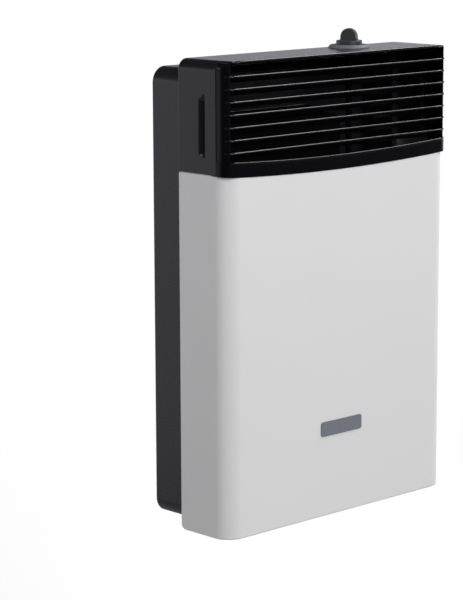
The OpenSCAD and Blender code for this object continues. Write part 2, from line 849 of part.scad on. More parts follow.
module injector_holder() {
    flange = 16;
    flange_t = 2;
    block = holder_half;
    seat_l = 5;
    bore_r = 2.5;
    color(brass) placed() difference() {
        union() {
            translate([chamber_right, -burner_d - flange, burner_z - flange])
                cube([flange_t, 2 * flange, 2 * flange]);
            translate([chamber_right, -burner_d - block, burner_z - block])
                cube([feed_x + tube_nut_r - chamber_right, 2 * block, 2 * block]);
        }
        bar([chamber_right - past, -burner_d, burner_z], [chamber_right + seat_l, -burner_d, burner_z],
            injector_r + running_gap);
        bar([chamber_right + seat_l - past, -burner_d, burner_z], [feed_x, -burner_d, burner_z], bore_r);
        bar([feed_x, -burner_d, burner_z], [feed_x, -burner_d, holder_z + past], bore_r);
    }
}

module injector() {
    tip_gap = 1.5;
    tip_r = 2;
    tip_l = 4;
    jet_r = 0.8;
    seat_l = 5;
    tip_x = burner_right + neck_l + tip_gap;
    color(brass) placed() difference() {
        union() {
            bar([tip_x + tip_l, -burner_d, burner_z], [chamber_right + seat_l, -burner_d, burner_z],
                injector_r);
            translate([tip_x + tip_l, -burner_d, burner_z]) rotate([0, -90, 0])
                cylinder(r1 = injector_r, r2 = tip_r, h = tip_l);
        }
        bar([tip_x - past, -burner_d, burner_z], [chamber_right + seat_l + past, -burner_d, burner_z],
            jet_r, $fn = 24);
    }
}

// A hexagon nut about an upright axis
module upright_nut(x, d, low, h, r) {
    translate([x, -d, low]) cylinder(r = r, h = h, $fn = 6);
}

module feed_tube() {
    color(copper) placed() difference() {
        union() {
            bar([feed_x, -burner_d, holder_z], [feed_x, -burner_d, valve_z], feed_r);
            upright_nut(feed_x, burner_d, holder_z, tube_nut_h, tube_nut_r);
            upright_nut(feed_x, burner_d, valve_z - tube_nut_h, tube_nut_h, tube_nut_r);
        }
        bar([feed_x, -burner_d, holder_z - past], [feed_x, -burner_d, valve_z + past], feed_r - 1);
    }
}

// ---- Pilot group ----

module pilot_bracket() {
    border = 6;
    rear_border = 8;
    left = thermocouple_x - border;
    right = electrode_x + border;
    rear_d = pilot_d - rear_border;
    color(steel) placed() difference() {
        union() {
            translate([left, -pilot_d - border, shelf_top_z - bracket_t])
                cube([right - left, border + rear_border, bracket_t]);
            translate([left, -rear_d - bracket_t, chamber_floor_z])
                cube([right - left, bracket_t, shelf_top_z - chamber_floor_z]);
        }
        for (hole = [[thermocouple_x, thermocouple_r], [pilot_x, pilot_r], [electrode_x, electrode_r]])
            translate([hole[0], -pilot_d, shelf_top_z - bracket_t - past])
                cylinder(r = hole[1] + lead_gap, h = bracket_t + 2 * past);
    }
}

module pilot_burner() {
    foot_z = pilot_foot_z;
    stem_l = 19;
    head_r = pilot_r + 1;
    head_h = 6;
    mouth_r = pilot_r - 1;
    mouth_l = 11;
    slot = 4;
    color(brass) placed() difference() {
        union() {
            translate([pilot_x, -pilot_d, foot_z]) cylinder(r = pilot_r, h = stem_l);
            translate([pilot_x, -pilot_d, foot_z + stem_l]) cylinder(r = head_r, h = head_h);
        }
        translate([pilot_x, -pilot_d, foot_z + stem_l + head_h - mouth_l])
            cylinder(r = mouth_r, h = mouth_l + past);
        translate([pilot_x - slot / 2, -pilot_d - head_r - past, foot_z + stem_l + past])
            cube([slot, head_r + past, head_h]);
    }
}

// The route of a lead: down from its piece, out to the right, forward and up
function lead_route(from_x, top_z, run_z, to_x, to_d, end_z) = [
    [from_x, -pilot_d, top_z],
    [from_x, -pilot_d, run_z],
    [to_x, -pilot_d, run_z],
    [to_x, -to_d, run_z],
    [to_x, -to_d, end_z]
];

module pilot_tube() {
    port_d = knob_d - lead_port_step;
    color(copper) placed() {
        bent_tube(lead_route(pilot_x, pilot_foot_z, pilot_tube_z, lead_port_x, port_d,
            valve_z - tube_nut_h), pilot_tube_r, lead_bend_r);
        upright_nut(lead_port_x, port_d, valve_z - tube_nut_h, tube_nut_h, lead_nut_r);
    }
}

module thermocouple() {
    port_d = knob_d + lead_port_step;
    probe_drop = 19.5;
    probe_z = shelf_top_z - probe_drop;
    probe_l = 37;
    color(copper) placed() {
        translate([thermocouple_x, -pilot_d, probe_z]) cylinder(r = thermocouple_r, h = probe_l);
        bent_tube(lead_route(thermocouple_x, probe_z + past, thermocouple_z, lead_port_x, port_d,
            valve_z - tube_nut_h), thermocouple_lead_r, lead_bend_r);
        upright_nut(lead_port_x, port_d, valve_z - tube_nut_h, tube_nut_h, lead_nut_r);
    }
}

module spark_electrode() {
    insulator_l = 16;
    tip_r = 0.9;
    tip_l = 26;
    color(ceramic) placed() translate([electrode_x, -pilot_d, electrode_foot_z]) {
        cylinder(r = electrode_r, h = insulator_l);
        cylinder(r = tip_r, h = tip_l, $fn = 24);
    }
}

module ignition_lead() {
    color(lead_black) placed()
        bent_tube(lead_route(electrode_x, electrode_foot_z, ignition_z, igniter_x, knob_d, valve_z),
            ignition_lead_r, lead_bend_r);
}

module lead_seal() {
    seal_t = 4;
    seal_w = 11;
    seal_gap = 0.3;
    border = 6;
    color(fibre) placed() difference() {
        translate([chamber_right, seal_gap - rear_rim_d, thermocouple_z - border])
            cube([seal_t, seal_w, ignition_z - thermocouple_z + 2 * border]);
        for (lead = [[thermocouple_z, thermocouple_lead_r], [pilot_tube_z, pilot_tube_r],
            [ignition_z, ignition_lead_r]])
            bar([chamber_right - past, -pilot_d, lead[0]], [chamber_right + seal_t + past, -pilot_d, lead[0]],
                lead[1] + lead_gap, $fn = 32);
    }
}

// ---- Gas control ----

module gas_valve() {
    body_r = 4;
    dial_r = 10;
    dial_h = 12;
    cap_r = 5;
    cap_h = 4;
    cap_z = valve_z + 24;
    color(steel) placed() difference() {
        union() {
            upright(valve_z, valve_top_z) translate([knob_x, -knob_d]) round_rect(valve_w, valve_l, body_r);
            translate([knob_x, -knob_d, valve_top_z - past]) cylinder(r = boss_r, h = boss_h + past);
            bar_from_wall(knob_x + dial_r, cap_z, valve_front_d - past, valve_front_d + dial_h, dial_r);
            bar_from_wall(knob_x - dial_h, cap_z, valve_front_d - past, valve_front_d + cap_h, cap_r);
            translate([guide_x, -knob_d, valve_top_z - past])
                cylinder(r = guide_r, h = guide_top_z - valve_top_z + past);
        }
        translate([knob_x, -knob_d, spindle_bore_z]) cylinder(r = rod_r + running_gap, h = valve_h);
    }
}

module valve_bracket() {
    foot_h = 35;
    low = valve_z + 10;
    web_z = low + 16;
    left = knob_x - bracket_w / 2;
    color(steel) placed() {
        translate([left, -casing_sheet - bracket_t, low]) cube([bracket_w, bracket_t, foot_h]);
        translate([left, -valve_rear_d, low]) cube([bracket_w, bracket_t, foot_h]);
        translate([left, -valve_rear_d, web_z])
            cube([bracket_w, valve_rear_d - casing_sheet, bracket_t]);
    }
}

module valve_spindle() {
    flat = 1;
    color(brass) placed() difference() {
        translate([knob_x, -knob_d, spindle_z]) cylinder(r = rod_r, h = spindle_top_z - spindle_z);
        translate([knob_x - rod_r, -knob_d + rod_r - flat, coupler_z])
            cube([2 * rod_r, 2 * flat, spindle_top_z]);
    }
}

module return_spring() {
    wire_r = 0.7;
    mean_r = 6.5;
    turns = 6;
    color(steel) placed() translate([knob_x, -knob_d, 0])
        coil(mean_r, wire_r, turns, boss_z + wire_r, collar_z - wire_r);
}

module push_collar() {
    arm_w = 10;
    color(steel) placed() difference() {
        union() {
            translate([knob_x, -knob_d, collar_z]) cylinder(r = push_collar_r, h = collar_t);
            translate([guide_x, -knob_d - arm_w / 2, collar_z])
                cube([igniter_x - guide_x, arm_w, collar_t]);
            translate([guide_x, -knob_d, collar_z]) cylinder(r = arm_w / 2, h = collar_t);
            translate([igniter_x, -knob_d, collar_z]) cylinder(r = arm_w / 2, h = collar_t);
        }
        translate([knob_x, -knob_d, collar_z - past])
            cylinder(r = rod_r + running_gap, h = collar_t + 2 * past);
        translate([guide_x, -knob_d, collar_z - past])
            cylinder(r = guide_r + running_gap, h = collar_t + 2 * past);
    }
}

module igniter_plunger() {
    color(brass) placed() translate([igniter_x, -knob_d, plunger_z])
        cylinder(r = plunger_r, h = collar_z - plunger_z);
}

module piezo_igniter() {
    shoulder_h = 3;
    color(lead_black) placed() difference() {
        union() {
            translate([igniter_x, -knob_d, valve_z])
                cylinder(r = igniter_r, h = igniter_rim_z - valve_z + past);
            translate([igniter_x, -knob_d, igniter_rim_z]) cylinder(r = igniter_r + 2, h = shoulder_h);
            translate([igniter_x, -knob_d, igniter_rim_z])
                cylinder(r = igniter_r - 2, h = igniter_top_z - igniter_rim_z);
        }
        translate([igniter_x, -knob_d, plunger_bore_z])
            cylinder(r = plunger_r + running_gap, h = igniter_top_z - plunger_bore_z + past);
    }
}

module igniter_clip() {
    clip_w = 24;
    leg_h = 18;
    border = 3;
    color(steel) placed() difference() {
        union() {
            translate([valve_right, -knob_d - clip_w / 2, igniter_clip_z])
                cube([igniter_x + igniter_r + border - valve_right, clip_w, igniter_clip_t]);
            translate([valve_right, -knob_d - clip_w / 2, igniter_clip_z - leg_h])
                cube([bracket_t, clip_w, leg_h + igniter_clip_t]);
        }
        translate([igniter_x, -knob_d, igniter_clip_z - past])
            cylinder(r = igniter_r + running_gap, h = igniter_clip_t + 2 * past);
    }
}

module inlet_tube() {
    end_nut_r = 11;
    color(steel) placed() difference() {
        union() {
            translate([knob_x, -knob_d, inlet_tube_z]) cylinder(r = inlet_tube_r, h = valve_z - inlet_tube_z);
            upright_nut(knob_x, knob_d, valve_z - tube_nut_h, tube_nut_h, end_nut_r);
        }
        translate([knob_x, -knob_d, inlet_tube_z - past])
            cylinder(r = inlet_tube_r - 1, h = valve_z - inlet_tube_z + 2 * past);
    }
}

module inlet_fitting() {
    color(brass) placed() difference() {
        union() {
            translate([knob_x, -knob_d, inlet_z]) cylinder(r = inlet_r, h = inlet_thread_l);
            translate([knob_x, -knob_d, shank_z]) cylinder(r = shank_r, h = fitting_hex_z - shank_z + past);
            upright_nut(knob_x, knob_d, fitting_hex_z, fitting_hex_h, nut_r);
        }
        translate([knob_x, -knob_d, inlet_z - past])
            cylinder(r = gas_way_r, h = inlet_tube_z - inlet_z + 2 * past);
    }
}

module inlet_locknut() {
    color(brass) placed() difference() {
        upright_nut(knob_x, knob_d, shelf_z - nut_h, nut_h, nut_r);
        translate([knob_x, -knob_d, shelf_z - nut_h - past])
            cylinder(r = shank_r + running_gap, h = nut_h + 2 * past);
    }
}

module inlet_bracket() {
    left = knob_x - bracket_w / 2;
    foot_z = casing_z + 1;
    shelf_l = knob_d + 18 - casing_d;
    color(steel) placed() difference() {
        union() {
            translate([left, -casing_d - bracket_t, foot_z])
                cube([bracket_w, bracket_t, shelf_z + bracket_t - foot_z]);
            translate([left, -casing_d - shelf_l, shelf_z]) cube([bracket_w, shelf_l, bracket_t]);
        }
        translate([knob_x, -knob_d, shelf_z - past])
            cylinder(r = shank_r + 2 * running_gap, h = bracket_t + 2 * past);
    }
}

module control_rod() {
    color(oxide) placed() difference() {
        union() {
            translate([knob_x, -knob_d, coupler_z]) cylinder(r = rod_r, h = rod_top_z - coupler_z);
            translate([knob_x, -knob_d, coupler_z]) cylinder(r = coupler_r, h = coupler_l);
        }
        translate([knob_x, -knob_d, coupler_z - past])
            cylinder(r = rod_r + running_gap, h = spindle_top_z - coupler_z + past);
    }
}

// ---- Cover supports ----

module air_deflector() {
    rise = 8;
    tip_gap = 4;
    sheet = 1;
    flange_h = casing_fold - 1.5;
    side_inset = casing_fold + 3;
    rod_room = 5;
    tip_d = hood_front_d - tip_gap;
    edge = casing_top_z - sheet / 2 - past;
    deflector_half_w = casing_half_w - side_inset;
    color(oxide) placed() difference() {
        across(-deflector_half_w, deflector_half_w) polygon([
            [-casing_d, edge - flange_h], [-casing_d - sheet, edge - flange_h],
            [-casing_d - sheet, edge - sheet],
            [-tip_d, edge + rise - sheet], [-tip_d, edge + rise], [-casing_d, edge]
        ]);
        translate([knob_x, -knob_d, edge - rise]) cylinder(r = rod_r + rod_room, h = 4 * rise);
    }
}

module hanger_brackets() {
    foot_l = 32;
    tab_l = 28;
    seat_z = cover_h - hood_wall;
    riser_d = cover_rear + hood_wall + 2.4;
    foot_d = riser_d - foot_l;
    tab_d = riser_d + tab_l;
    color(steel) placed() both_sides() across(screw_x - hanger_w / 2, screw_x + hanger_w / 2) polygon([
        [-foot_d, casing_top_z], [-riser_d, casing_top_z], [-riser_d, seat_z - bracket_t],
        [-tab_d, seat_z - bracket_t], [-tab_d, seat_z], [bracket_t - riser_d, seat_z],
        [bracket_t - riser_d, casing_top_z + bracket_t], [-foot_d, casing_top_z + bracket_t]
    ]);
}

module bottom_brackets() {
    strip_w = 24;
    foot_h = 14;
    tip_gap = 2;
    strip_z = panel_sheet;
    tip_d = cover_d - panel_sheet - tip_gap;
    color(steel) placed() both_sides() difference() {
        across(screw_x - strip_w / 2, screw_x + strip_w / 2) polygon([
            [-casing_d, strip_z], [-tip_d, strip_z], [-tip_d, strip_z + bracket_t],
            [-casing_d - bracket_t, strip_z + bracket_t], [-casing_d - bracket_t, casing_z + foot_h],
            [-casing_d, casing_z + foot_h]
        ]);
        translate([screw_x, -cover_screw_d, strip_z - past])
            cylinder(r = cover_screw_r + running_gap, h = bracket_t + 2 * past);
    }
}

module cover_screws() {
    head_r = 3.6;
    head_h = 2;
    shank_l = 7;
    color(steel) placed() both_sides() translate([screw_x, -cover_screw_d, 0]) {
        translate([0, 0, -past]) cylinder(r = cover_screw_r, h = shank_l + past);
        translate([0, 0, -head_h]) cylinder(r = head_r, h = head_h);
    }
}

// ---- Hood ----

// A finger pocket in the left side, grown by a wall where that isn't zero
module grip_pocket(wall) {
    mouth = wall == 0 ? past : 0;
    low = grip_z - grip_h / 2 - wall;
    high = grip_z + grip_h / 2 + wall;
    rear = grip_rear_d - wall;
    front = grip_front_d + wall;
    floor_x = grip_depth + wall - half_w;
    intersection() {
        upright(low, high) polygon([
            [-half_w - mouth, -rear], [-half_w, -rear], [floor_x, -rear - grip_ramp],
            [floor_x, 0.5 - front], [-half_w, -front], [-half_w - mouth, -front]
        ]);
        across(-half_w - mouth, floor_x) polygon([
            [-rear, low + grip_end_slope], [-front, low], [-front, high], [-rear, high - grip_end_slope]
        ]);
    }
}

module hood() {
    color(hood_black) placed() difference() {
        union() {
            difference() {
                from_wall(cover_rear, hood_front_d) crown(half_w, hood_z, cover_h, crown_r);
                from_wall(cover_rear + hood_wall, hood_front_d + past)
                    crown(half_w - hood_wall, hood_z - past, cover_h - hood_wall, crown_r - hood_wall);
                from_wall(cover_rear - past, cover_rear + hood_wall + past)
                    crown(half_w - rear_fold, hood_z - past, cover_h - hood_wall - top_fold, casing_r);
            }
            both_sides() grip_pocket(grip_wall);
        }
        both_sides() grip_pocket(0);
        both_sides() across(screw_x - hanger_w / 2 - hanger_gap, screw_x + hanger_w / 2 + hanger_gap)
            translate([-cover_rear - hood_wall - past, casing_top_z - past])
                square([hood_wall + 2 * past, bracket_t + hanger_gap + past]);
        translate([knob_x, -knob_d, cover_h - 2 * hood_wall])
            cylinder(r = knob_r + 2 * knob_gap, h = 3 * hood_wall);
    }
}

module cover_joiners() {
    joiner_h = 38;
    joiner_gap = 1.5;
    joiner_front_d = seam_d - tongue_l - joiner_gap;
    joiner_rear_d = cover_rear + hood_wall;
    leg_l = rear_fold - hood_wall;
    below_joint = 23;
    outer = half_w - hood_wall;
    color(steel) placed() both_sides() translate([outer, 0, panel_side_h - below_joint]) {
        translate([-plate_t, -joiner_front_d, 0])
            cube([plate_t, joiner_front_d - joiner_rear_d, joiner_h]);
        translate([-leg_l, -joiner_rear_d - plate_t, 0]) cube([leg_l, plate_t, joiner_h]);
    }
}

// ---- Grille ----

// The grille's outer form with its sides and front set back, and shrunk by a wall
module grille_form(set_back, wall, rear) {
    edge = max(grille_edge_r - wall, 0.2);
    side = grille_half_w - set_back - wall;
    front = grille_front_d - set_back - wall;
    top = cover_h - wall;
    intersection() {
        upright(0, top) cover_plan(side, rear, front, grille_corner_r - set_back - wall);
        from_wall(rear - past, front + past) crown(side, 0, top, crown_r - wall);
        across(-side - past, side + past) {
            translate([-front, 0]) square([front, top - edge]);
            translate([edge - front, 0]) square([front - edge, top]);
            translate([edge - front, top - edge]) circle(edge);
        }
    }
}

module grille_frame() {
    tongue_side = half_w - hood_wall - tongue_gap;
    tongue_top = cover_h - hood_wall - tongue_gap;
    tongue_r = crown_r - hood_wall - tongue_gap;
    tongue_root = 6;
    web_front = grille_wall + 2 * post_recess;
    grille_rear_rim = 1.2;
    color(grille_black) placed() difference() {
        intersection() {
            union() {
                difference() {
                    union() {
                        difference() {
                            grille_form(0, 0, grille_rear_d);
                            from_wall(0, 2 * cover_d) above_arc(lip_top_z);
                        }
                        grille_form(post_recess, 0, grille_rear_d);
                    }
                    grille_form(0, grille_wall, grille_rear_d - past);
                }
                // Tongue that slides into the hood
                difference() {
                    from_wall(grille_rear_d - tongue_l, grille_rear_d + tongue_root)
                        crown(tongue_side, 0, tongue_top, tongue_r);
                    from_wall(grille_rear_d - tongue_l - past, grille_rear_d + tongue_root + past)
                        crown(tongue_side - tongue_t, -past, tongue_top - tongue_t, tongue_r - tongue_t);
                }
                // Webs of the corner posts
                both_sides() upright(hood_z, top_bar_z + past)
                    translate([window_half_w, web_front - grille_front_d])
                        square([post_web, grille_depth - grille_rear_rim - web_front]);
            }
            from_wall(0, 2 * cover_d) above_arc(lip_z);
        }
        // Window for the louvres
        from_wall(grille_front_d - grille_corner_r, grille_front_d + past) intersection() {
            translate([-window_half_w, lip_z]) square([2 * window_half_w, top_bar_z - lip_z]);
            above_arc(lip_top_z);
        }
    }
    color(grille_black) placed() for (side = [-1:1]) lip_tab(side * lip_tab_x);
}

// A tab behind the lip that the panel's upper edge slips under
module lip_tab(x) {
    face_d = cover_d - panel_sheet - joint_gap;
    from_wall(face_d - lip_tab_t, face_d)
        translate([x - lip_tab_w / 2, joint_mid_z - lip_tab_l]) square([lip_tab_w, lip_tab_l + lip_h]);
}

// A louvre's nose in plan: deep in the window, and wrapped round the corner posts
module nose_plan() {
    wrap = post_recess - post_gap;
    reach = grille_half_w - post_recess;
    front = grille_front_d - nose_recess;
    difference() {
        cover_plan(grille_half_w - nose_recess, grille_rear_d, front, grille_corner_r - nose_recess);
        cover_plan(grille_half_w - nose_d, grille_rear_d - past, front - nose_d, grille_corner_r - nose_d);
        difference() {
            cover_plan(grille_half_w - wrap, grille_rear_d - past, grille_front_d - wrap,
                grille_corner_r - wrap);
            translate([-window_half_w, -front - past]) square([2 * window_half_w, cover_d]);
        }
        both_sides() translate([reach, -front - past]) square([cover_d, cover_d]);
        translate([-half_w, -grille_rear_d]) square([cover_w, cover_d]);
    }
}

module louvre(n) {
    top = first_louvre_z - (n - 1) * louvre_pitch;
    root_d = grille_front_d - 2;
    color(grille_black) placed() {
        upright(top - nose_h, top) nose_plan();
        across(-window_half_w, window_half_w) polygon([
            [-root_d, top - nose_h + blade_t],
            [-root_d, top - nose_h],
            [blade_d - root_d, top - nose_h - blade_fall],
            [blade_d - root_d, top - nose_h - blade_fall + blade_t]
        ]);
    }
}

// ---- Front panel and trim ----

module front_panel() {
    heel = panel_heel_r;
    color(panel_white) placed() difference() {
        union() {
            upright(0, cover_h) difference() {
                cover_plan(half_w, cover_rear, cover_d, panel_corner_r);
                cover_plan(half_w - panel_sheet, cover_rear + panel_sheet, cover_d - panel_sheet,
                    panel_corner_r - panel_sheet);
                translate([-half_w + rear_fold, -cover_rear - 2 * panel_sheet])
                    square([2 * (half_w - rear_fold), 3 * panel_sheet]);
            }
            intersection() {
                upright(0, panel_sheet) cover_plan(half_w, cover_rear, cover_d, panel_corner_r);
                upright(0, panel_sheet) translate([-half_w, -cover_d]) square([cover_w, bottom_fold]);
            }
        }
        from_wall(0, 2 * cover_d) above_arc(joint_mid_z);
        // Round heel at the lower rear corners
        across(-half_w - past, half_w + past) difference() {
            translate([-cover_rear - heel, -past]) square([heel + past, heel + past]);
            translate([-cover_rear - heel, heel]) circle(heel);
        }
        for (s = [-1, 1]) translate([s * screw_x, -cover_screw_d, -past])
            cylinder(r = cover_screw_r + bolt_gap, h = panel_sheet + 2 * past);
    }
}

module badge_plate() {
    color(badge_grey) placed() from_wall(cover_d, cover_d + badge_t)
        translate([0, badge_z]) round_rect(badge_w, badge_h, badge_r);
}

module knob_bezel() {
    shoulder = 3.5;
    color(hood_black) placed() translate([knob_x, -knob_d, cover_h]) rotate_extrude() difference() {
        union() {
            square([bezel_r - shoulder, bezel_h]);
            polygon([
                [0, 0], [bezel_r, 0], [bezel_r - 1, 0.45 * bezel_h],
                [bezel_r - shoulder, bezel_h], [0, bezel_h]
            ]);
        }
        translate([0, -past]) square([knob_r + knob_gap, bezel_h + 2 * past]);
    }
}

module knob() {
    chamfer = 1;
    cap_r = grip_l / 2;
    color(hood_black) placed() translate([knob_x, -knob_d, 0]) rotate([0, 0, knob_rest_turn]) difference() {
        union() {
            translate([0, 0, knob_z]) cylinder(r = knob_r, h = knob_base_z - chamfer - knob_z);
            translate([0, 0, knob_base_z - chamfer])
                cylinder(r1 = knob_r, r2 = knob_r - chamfer, h = chamfer);
            // Grip: a half-round blade that thins upwards
            intersection() {
                across(-knob_grip_t, knob_grip_t) {
                    translate([-cap_r, knob_base_z - chamfer])
                        square([grip_l, knob_grip_h - cap_r + chamfer]);
                    translate([0, knob_base_z + knob_grip_h - cap_r]) circle(cap_r);
                }
                from_wall(-knob_r, knob_r) polygon([
                    [-knob_grip_t / 2, knob_base_z - chamfer], [knob_grip_t / 2, knob_base_z - chamfer],
                    [knob_grip_top_t / 2, knob_base_z + knob_grip_h + past],
                    [-knob_grip_top_t / 2, knob_base_z + knob_grip_h + past]
                ]);
            }
        }
        translate([0, 0, knob_z - past]) cylinder(r = rod_r + running_gap, h = rod_socket_l + past);
    }
}

rear_casing();
air_collar();
exhaust_collar();
air_duct();
chamber_rear();
chamber_gasket();
chamber_front();
chamber_bolts();
chamber_standoffs();
burner();
burner_supports();
access_gasket();
burner_access_plate();
access_screws();
sight_glass();
sight_glass_ring();
injector_holder();
injector();
feed_tube();
pilot_bracket();
pilot_burner();
pilot_tube();
thermocouple();
spark_electrode();
ignition_lead();
lead_seal();
gas_valve();
valve_bracket();
valve_spindle();
return_spring();
push_collar();
igniter_plunger();
piezo_igniter();
igniter_clip();
inlet_tube();
inlet_fitting();
inlet_locknut();
inlet_bracket();
control_rod();
air_deflector();
hanger_brackets();
bottom_brackets();
cover_screws();
hood();
cover_joiners();
grille_frame();
louvre(1);  // louvre_1
louvre(2);  // louvre_2
louvre(3);  // louvre_3
louvre(4);  // louvre_4
louvre(5);  // louvre_5
louvre(6);  // louvre_6
louvre(7);  // louvre_7
front_panel();
badge_plate();
knob_bezel();
knob();
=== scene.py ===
"""A flued wall heater: white front, black louvred outlet, dark casing and a control knob on top."""
import json
from math import asin, cos, pi, radians, sin, sqrt

import bmesh
import bpy
from mathutils import Matrix, Vector


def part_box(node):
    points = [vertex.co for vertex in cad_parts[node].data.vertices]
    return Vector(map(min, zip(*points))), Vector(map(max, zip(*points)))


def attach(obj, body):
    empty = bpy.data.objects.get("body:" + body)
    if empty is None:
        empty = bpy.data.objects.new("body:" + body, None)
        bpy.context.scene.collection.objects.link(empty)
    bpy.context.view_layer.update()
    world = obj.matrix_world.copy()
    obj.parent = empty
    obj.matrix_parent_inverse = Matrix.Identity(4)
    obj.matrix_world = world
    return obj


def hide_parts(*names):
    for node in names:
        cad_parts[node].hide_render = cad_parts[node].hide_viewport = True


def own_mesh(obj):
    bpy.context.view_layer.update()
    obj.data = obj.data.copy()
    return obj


MM = 0.001

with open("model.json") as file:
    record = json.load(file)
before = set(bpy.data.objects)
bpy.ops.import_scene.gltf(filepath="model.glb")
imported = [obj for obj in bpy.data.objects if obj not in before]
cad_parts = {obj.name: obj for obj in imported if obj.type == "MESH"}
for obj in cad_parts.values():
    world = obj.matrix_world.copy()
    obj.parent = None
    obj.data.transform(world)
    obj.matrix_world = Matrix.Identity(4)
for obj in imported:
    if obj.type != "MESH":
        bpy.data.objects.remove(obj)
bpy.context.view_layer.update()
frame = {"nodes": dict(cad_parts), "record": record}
nodes = frame["nodes"]
slot_of = {s["node"]: s["material_slot"] for s in frame["record"]["subparts"]}


# ---- Camera ----

CAMERA_YAW = radians(43.575)
CAMERA_PITCH = radians(10.502)
CAMERA_ROLL = radians(0.215)
CAMERA_PLACE = Vector((-2.1154, -2.1634, 0.5272))
CAMERA_LENS = 138.22


def add_camera():
    level = cos(CAMERA_PITCH)
    forward = Vector((sin(CAMERA_YAW) * level, cos(CAMERA_YAW) * level, -sin(CAMERA_PITCH)))
    right = forward.cross(Vector((0, 0, 1))).normalized()
    up = right.cross(forward)
    turn = Matrix((right, up, -forward)).transposed() @ Matrix.Rotation(-CAMERA_ROLL, 3, "Z")
    data = bpy.data.cameras.new("camera")
    data.lens = CAMERA_LENS
    camera = bpy.data.objects.new("camera", data)
    camera.matrix_world = Matrix.Translation(CAMERA_PLACE) @ turn.to_4x4()
    bpy.context.scene.collection.objects.link(camera)
    bpy.context.scene.camera = camera


add_camera()


# ---- Sizes in millimetres, from the frame's boxes where they show them ----
# X and HALF_W run across, D is the distance out from the wall, and Z is the height above the cover's foot.

panel_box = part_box("front_panel")
hood_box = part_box("hood")
grille_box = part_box("grille_frame")
bezel_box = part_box("knob_bezel")
knob_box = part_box("knob")
louvre_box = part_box("louvre_1")

# The cover as a whole
BASE_Z = panel_box[0].z
HALF_W = panel_box[1].x / MM
COVER_D = -panel_box[0].y / MM
COVER_REAR = -panel_box[1].y / MM
COVER_H = (hood_box[1].z - BASE_Z) / MM

# Front panel
PANEL_SIDE_H = (panel_box[1].z - BASE_Z) / MM
PANEL_SHEET = 1.0
PANEL_CORNER_R = 23.0
PANEL_HEEL_R = 9.0
PANEL_REAR_FOLD = 9.0
PANEL_BOTTOM_FOLD = 15.0
PANEL_BEND_R = 1.6
PANEL_EDGE_R = 0.85
PANEL_BOTTOM_BEND = 2.0
PANEL_PLAIN_EDGE = 0.5
PANEL_SIDE_DEPTHS = [110.0, 96.0, 82.0]
PANEL_ROW_OFFSET = 40.0
PANEL_TOP_ROW = 3
PANEL_FOOT_ROW = 5
PANEL_TOP_INNER_DROP = 0.15
PANEL_TOP_FLAT = 0.05
# The plain lower edge's inner side, as shares of the sheet and heights above the edge
PANEL_PLAIN_INNER = ((0.6, 0.02), (0.8, 0.1), (0.9, 0.2), (1, 0.5))

# The curved joint between the panel and the outlet's lip
JOINT_SAG = 6.2
JOINT_R = (HALF_W ** 2 + JOINT_SAG ** 2) / (2 * JOINT_SAG)
JOINT_MID_Z = PANEL_SIDE_H - JOINT_SAG

# Outlet, with the beads along its lip and its top
GRILLE_HALF_W = grille_box[1].x / MM
GRILLE_FRONT_D = -grille_box[0].y / MM
GRILLE_TOP_Z = (grille_box[1].z - BASE_Z) / MM
GRILLE_CORNER_R = 15.0
WINDOW_HALF_W = HALF_W - 8.0
LIP_GAP = 0.3
LIP_H = 18.2
BEAD_WALL = 2.8
BEAD_H = 2.6
BEAD_ROUND = 1.6
BEAD_UNDER_ROUND = 0.1
BEAD_SKIN = 0.16
BEAD_RISE = 0.6
BEAD_FADE = 14.0
BEAD_SINK = 0.35
BEAD_REAR_D = 129.0

# Louvres
LOUVRES = 7
NOSE_FRONT_D = -louvre_box[0].y / MM
NOSE_REACH = louvre_box[1].x / MM
NOSE_H = 2.2
NOSE_DEPTH = 4.5
NOSE_ROUND = 1.7
NOSE_UNDER_ROUND = 0.35
NOSE_WRAP = 0.95
NOSE_SHY = 1.6
NOSE_STEP_ANGLE = 0.002
BLADE_ROOT = 2.0
BLADE_D = 14.0
BLADE_FALL = 8.0
BLADE_T = 1.6
BLADE_ROUND = 0.5

# Hood
HOOD_WALL = 1.6
HOOD_FRONT_D = -hood_box[0].y / MM
HOOD_LOW_Z = (hood_box[0].z - BASE_Z) / MM
HOOD_CROWN_R = 14.0
HOOD_REAR_FOLD = 9.0
HOOD_TOP_FOLD = 12.3
HOOD_OPENING_R = 20.8
HOOD_ROLL = 1.8
HOOD_FRONT_ROUND = 0.6
HOOD_MID_D = 80.0
HOOD_FRONT_ROW = 4
HOOD_INNER_ROLL = 0.2
HOOD_INNER_ROUND = 0.4
HOOD_SHARP_ANGLE = radians(26)
HOOD_TOP_STEP = 30
HOOD_TOP_STEPS = 5
HOOD_SHOULDER_X = 172
HOOD_SHOULDER_FOLD_X = 169
HOOD_SIDE_STEP = 8
HOOD_FOOT_STEP = 0.4
HANGER_X = 150.0
HANGER_ROOM = 15.3
HANGER_NOTCH = 1.4
NOTCH_WALL = 0.05

# The finger scoop in each side of the hood
SCOOP_REAR_D = 94.5
SCOOP_FRONT_D = 106.5
SCOOP_LOW_Z = 479.0
SCOOP_TOP_Z = 559.0
SCOOP_UPPER_END = 9.0
SCOOP_LOWER_END = 5.0
SCOOP_DEPTH = 7.0
SCOOP_CURVE = 1.35
SCOOP_MARGIN = 2
SCOOP_STEP = 1.5
SCOOP_COLUMNS = 11
SCOOP_WALL_HALF = 0.35

